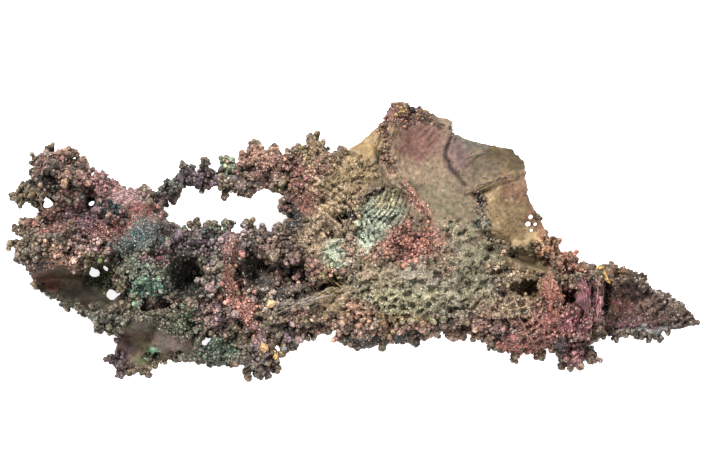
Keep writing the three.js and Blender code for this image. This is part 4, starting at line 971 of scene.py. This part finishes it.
strand_mesh = finished_mesh(curve_piece)
bpy.data.objects.remove(curve_piece)


def bundle_colours(points):
    """Each point takes the film of the bundle whose route passes nearest."""
    best = np.full(len(points), 1e9)
    colours = np.zeros((len(points), 3))
    light = np.clip(0.5 + 0.9 * ripples(points, 0.8, 1.1), 0, 1)[:, None]
    for bundle in BUNDLES:
        away = distance_to_route(points[:, :2], bundle.route) / (0.5 + 0.5 * bundle.spread)
        near = away < best
        colours[near] = (film(bundle.main) * (1 - light) + film(bundle.fleck) * light)[near]
        best = np.minimum(best, away)
    return colours


strand_points = np.clip(millimetres(mesh_points(strand_mesh)), *millimetres(cad_box))
strand_mesh.vertices.foreach_set("co", metres(strand_points).astype(np.float32).ravel())
tint_with_painted_shade(strand_mesh, bundle_colours(strand_points), np.full(len(strand_points), FIBRE_SKIN))
finish_piece(put_in_scene("strands", strand_mesh))


# ---- Ochre ----------------------------------------------------------------------------------------------
# A splinter, a bit beside it and a crumb of yellow ochre, the earthy form of goethite, that grew onto the
# crust. They are dull and angular, and have no film.
OCHRE_BITS = [  # place in plan, half sizes, turn and colour
    ((50.1, -7.1), (2.2, 0.5, 0.6), -58, "#c9a458"), ((49.2, -5.6), (0.9, 0.5, 0.5), 10, "#b99556"),
    ((-16.6, -12.8), (1.1, 0.8, 0.8), 20, "#d6b588"),
]
OCHRE_LIFT, CHIPPED = 0.8, 0.12  # the first in the bit's half heights, the second in mm
ochre_shape = bmesh.new()
ochre_tints = []
for (x, y), size, turn, tint in OCHRE_BITS:
    place = metres((x, y, height_at(x, y) + OCHRE_LIFT * size[2]))
    stretch = Matrix.Diagonal([s * MM for s in size]).to_4x4()
    aim = Matrix.Translation(place) @ Matrix.Rotation(math.radians(turn), 4, "Z") @ stretch
    made = bmesh.ops.create_icosphere(ochre_shape, subdivisions=2, radius=1, matrix=aim)
    for vert in made["verts"]:
        vert.co += Vector([form_chance.uniform(-CHIPPED, CHIPPED) * MM for _ in range(3)])
        ochre_tints.append(linear(tint) * form_chance.uniform(0.75, 1.1))
ochre_mesh = mesh_from(ochre_shape, "ochre")
tint_with_painted_shade(ochre_mesh, np.array(ochre_tints), np.zeros(len(ochre_tints)))
finish_piece(put_in_scene("ochre", ochre_mesh))


# ---- Camera, light and floor ----------------------------------------------------------------------------
# The specimen lies on its back on a white sheet that glows a little, as on a light table, and is looked at
# from straight above under soft light.
VIEW_WIDTH = 141.6  # mm of the plan across the frame
VIEW_CENTRE = (0.0, 0.8, 12.0)
CAMERA_HEIGHT = 1.6  # m
SENSOR = 36.0
FLOOR_SIZE = 1.6  # m
SHEET_GLOW, SKY_GLOW = 0.75, 0.62
LIGHTS = [("key", (-0.3, 0.5, 0.75), 0.16, 17), ("fill", (0.5, -0.2, 0.8), 0.6, 6),
          ("back", (0.1, 0.7, 0.4), 0.4, 3)]  # place and size in m, watts

camera_data = bpy.data.cameras.new("camera")
camera = put_in_scene("camera", camera_data)
bpy.context.scene.camera = camera
aim = metres(VIEW_CENTRE)
camera.location = (aim[0], aim[1], aim[2] + CAMERA_HEIGHT)
camera_data.sensor_width = SENSOR
camera_data.lens = SENSOR * CAMERA_HEIGHT / (VIEW_WIDTH * MM)
camera_data.clip_start = 0.05
camera_data.clip_end = 20.0

floor_shape = bmesh.new()
bmesh.ops.create_grid(floor_shape, x_segments=1, y_segments=1, size=FLOOR_SIZE / 2)
floor = put_in_scene("white_sheet", mesh_from(floor_shape, "white_sheet"))
paper = bpy.data.materials.new("white_paper")
paper.use_nodes = True
sheet = paper.node_tree.nodes["Principled BSDF"]
sheet.inputs["Base Color"].default_value = (0.95, 0.95, 0.95, 1)
sheet.inputs["Roughness"].default_value = 0.9
sheet.inputs["Emission Color"].default_value = (1, 1, 1, 1)
sheet.inputs["Emission Strength"].default_value = SHEET_GLOW
floor.data.materials.append(paper)

for name, place, size, watts in LIGHTS:
    data = bpy.data.lights.new(name, "AREA")
    data.size = size
    data.energy = watts
    lamp = put_in_scene(name, data)
    lamp.location = place
    lamp.rotation_euler = (Vector(aim) - Vector(place)).to_track_quat("-Z", "Y").to_euler()
world = bpy.data.worlds.new("studio")
world.use_nodes = True
world.node_tree.nodes["Background"].inputs["Color"].default_value = (1, 1, 1, 1)
world.node_tree.nodes["Background"].inputs["Strength"].default_value = SKY_GLOW
bpy.context.scene.world = world
bpy.context.scene.view_settings.view_transform = "Standard"
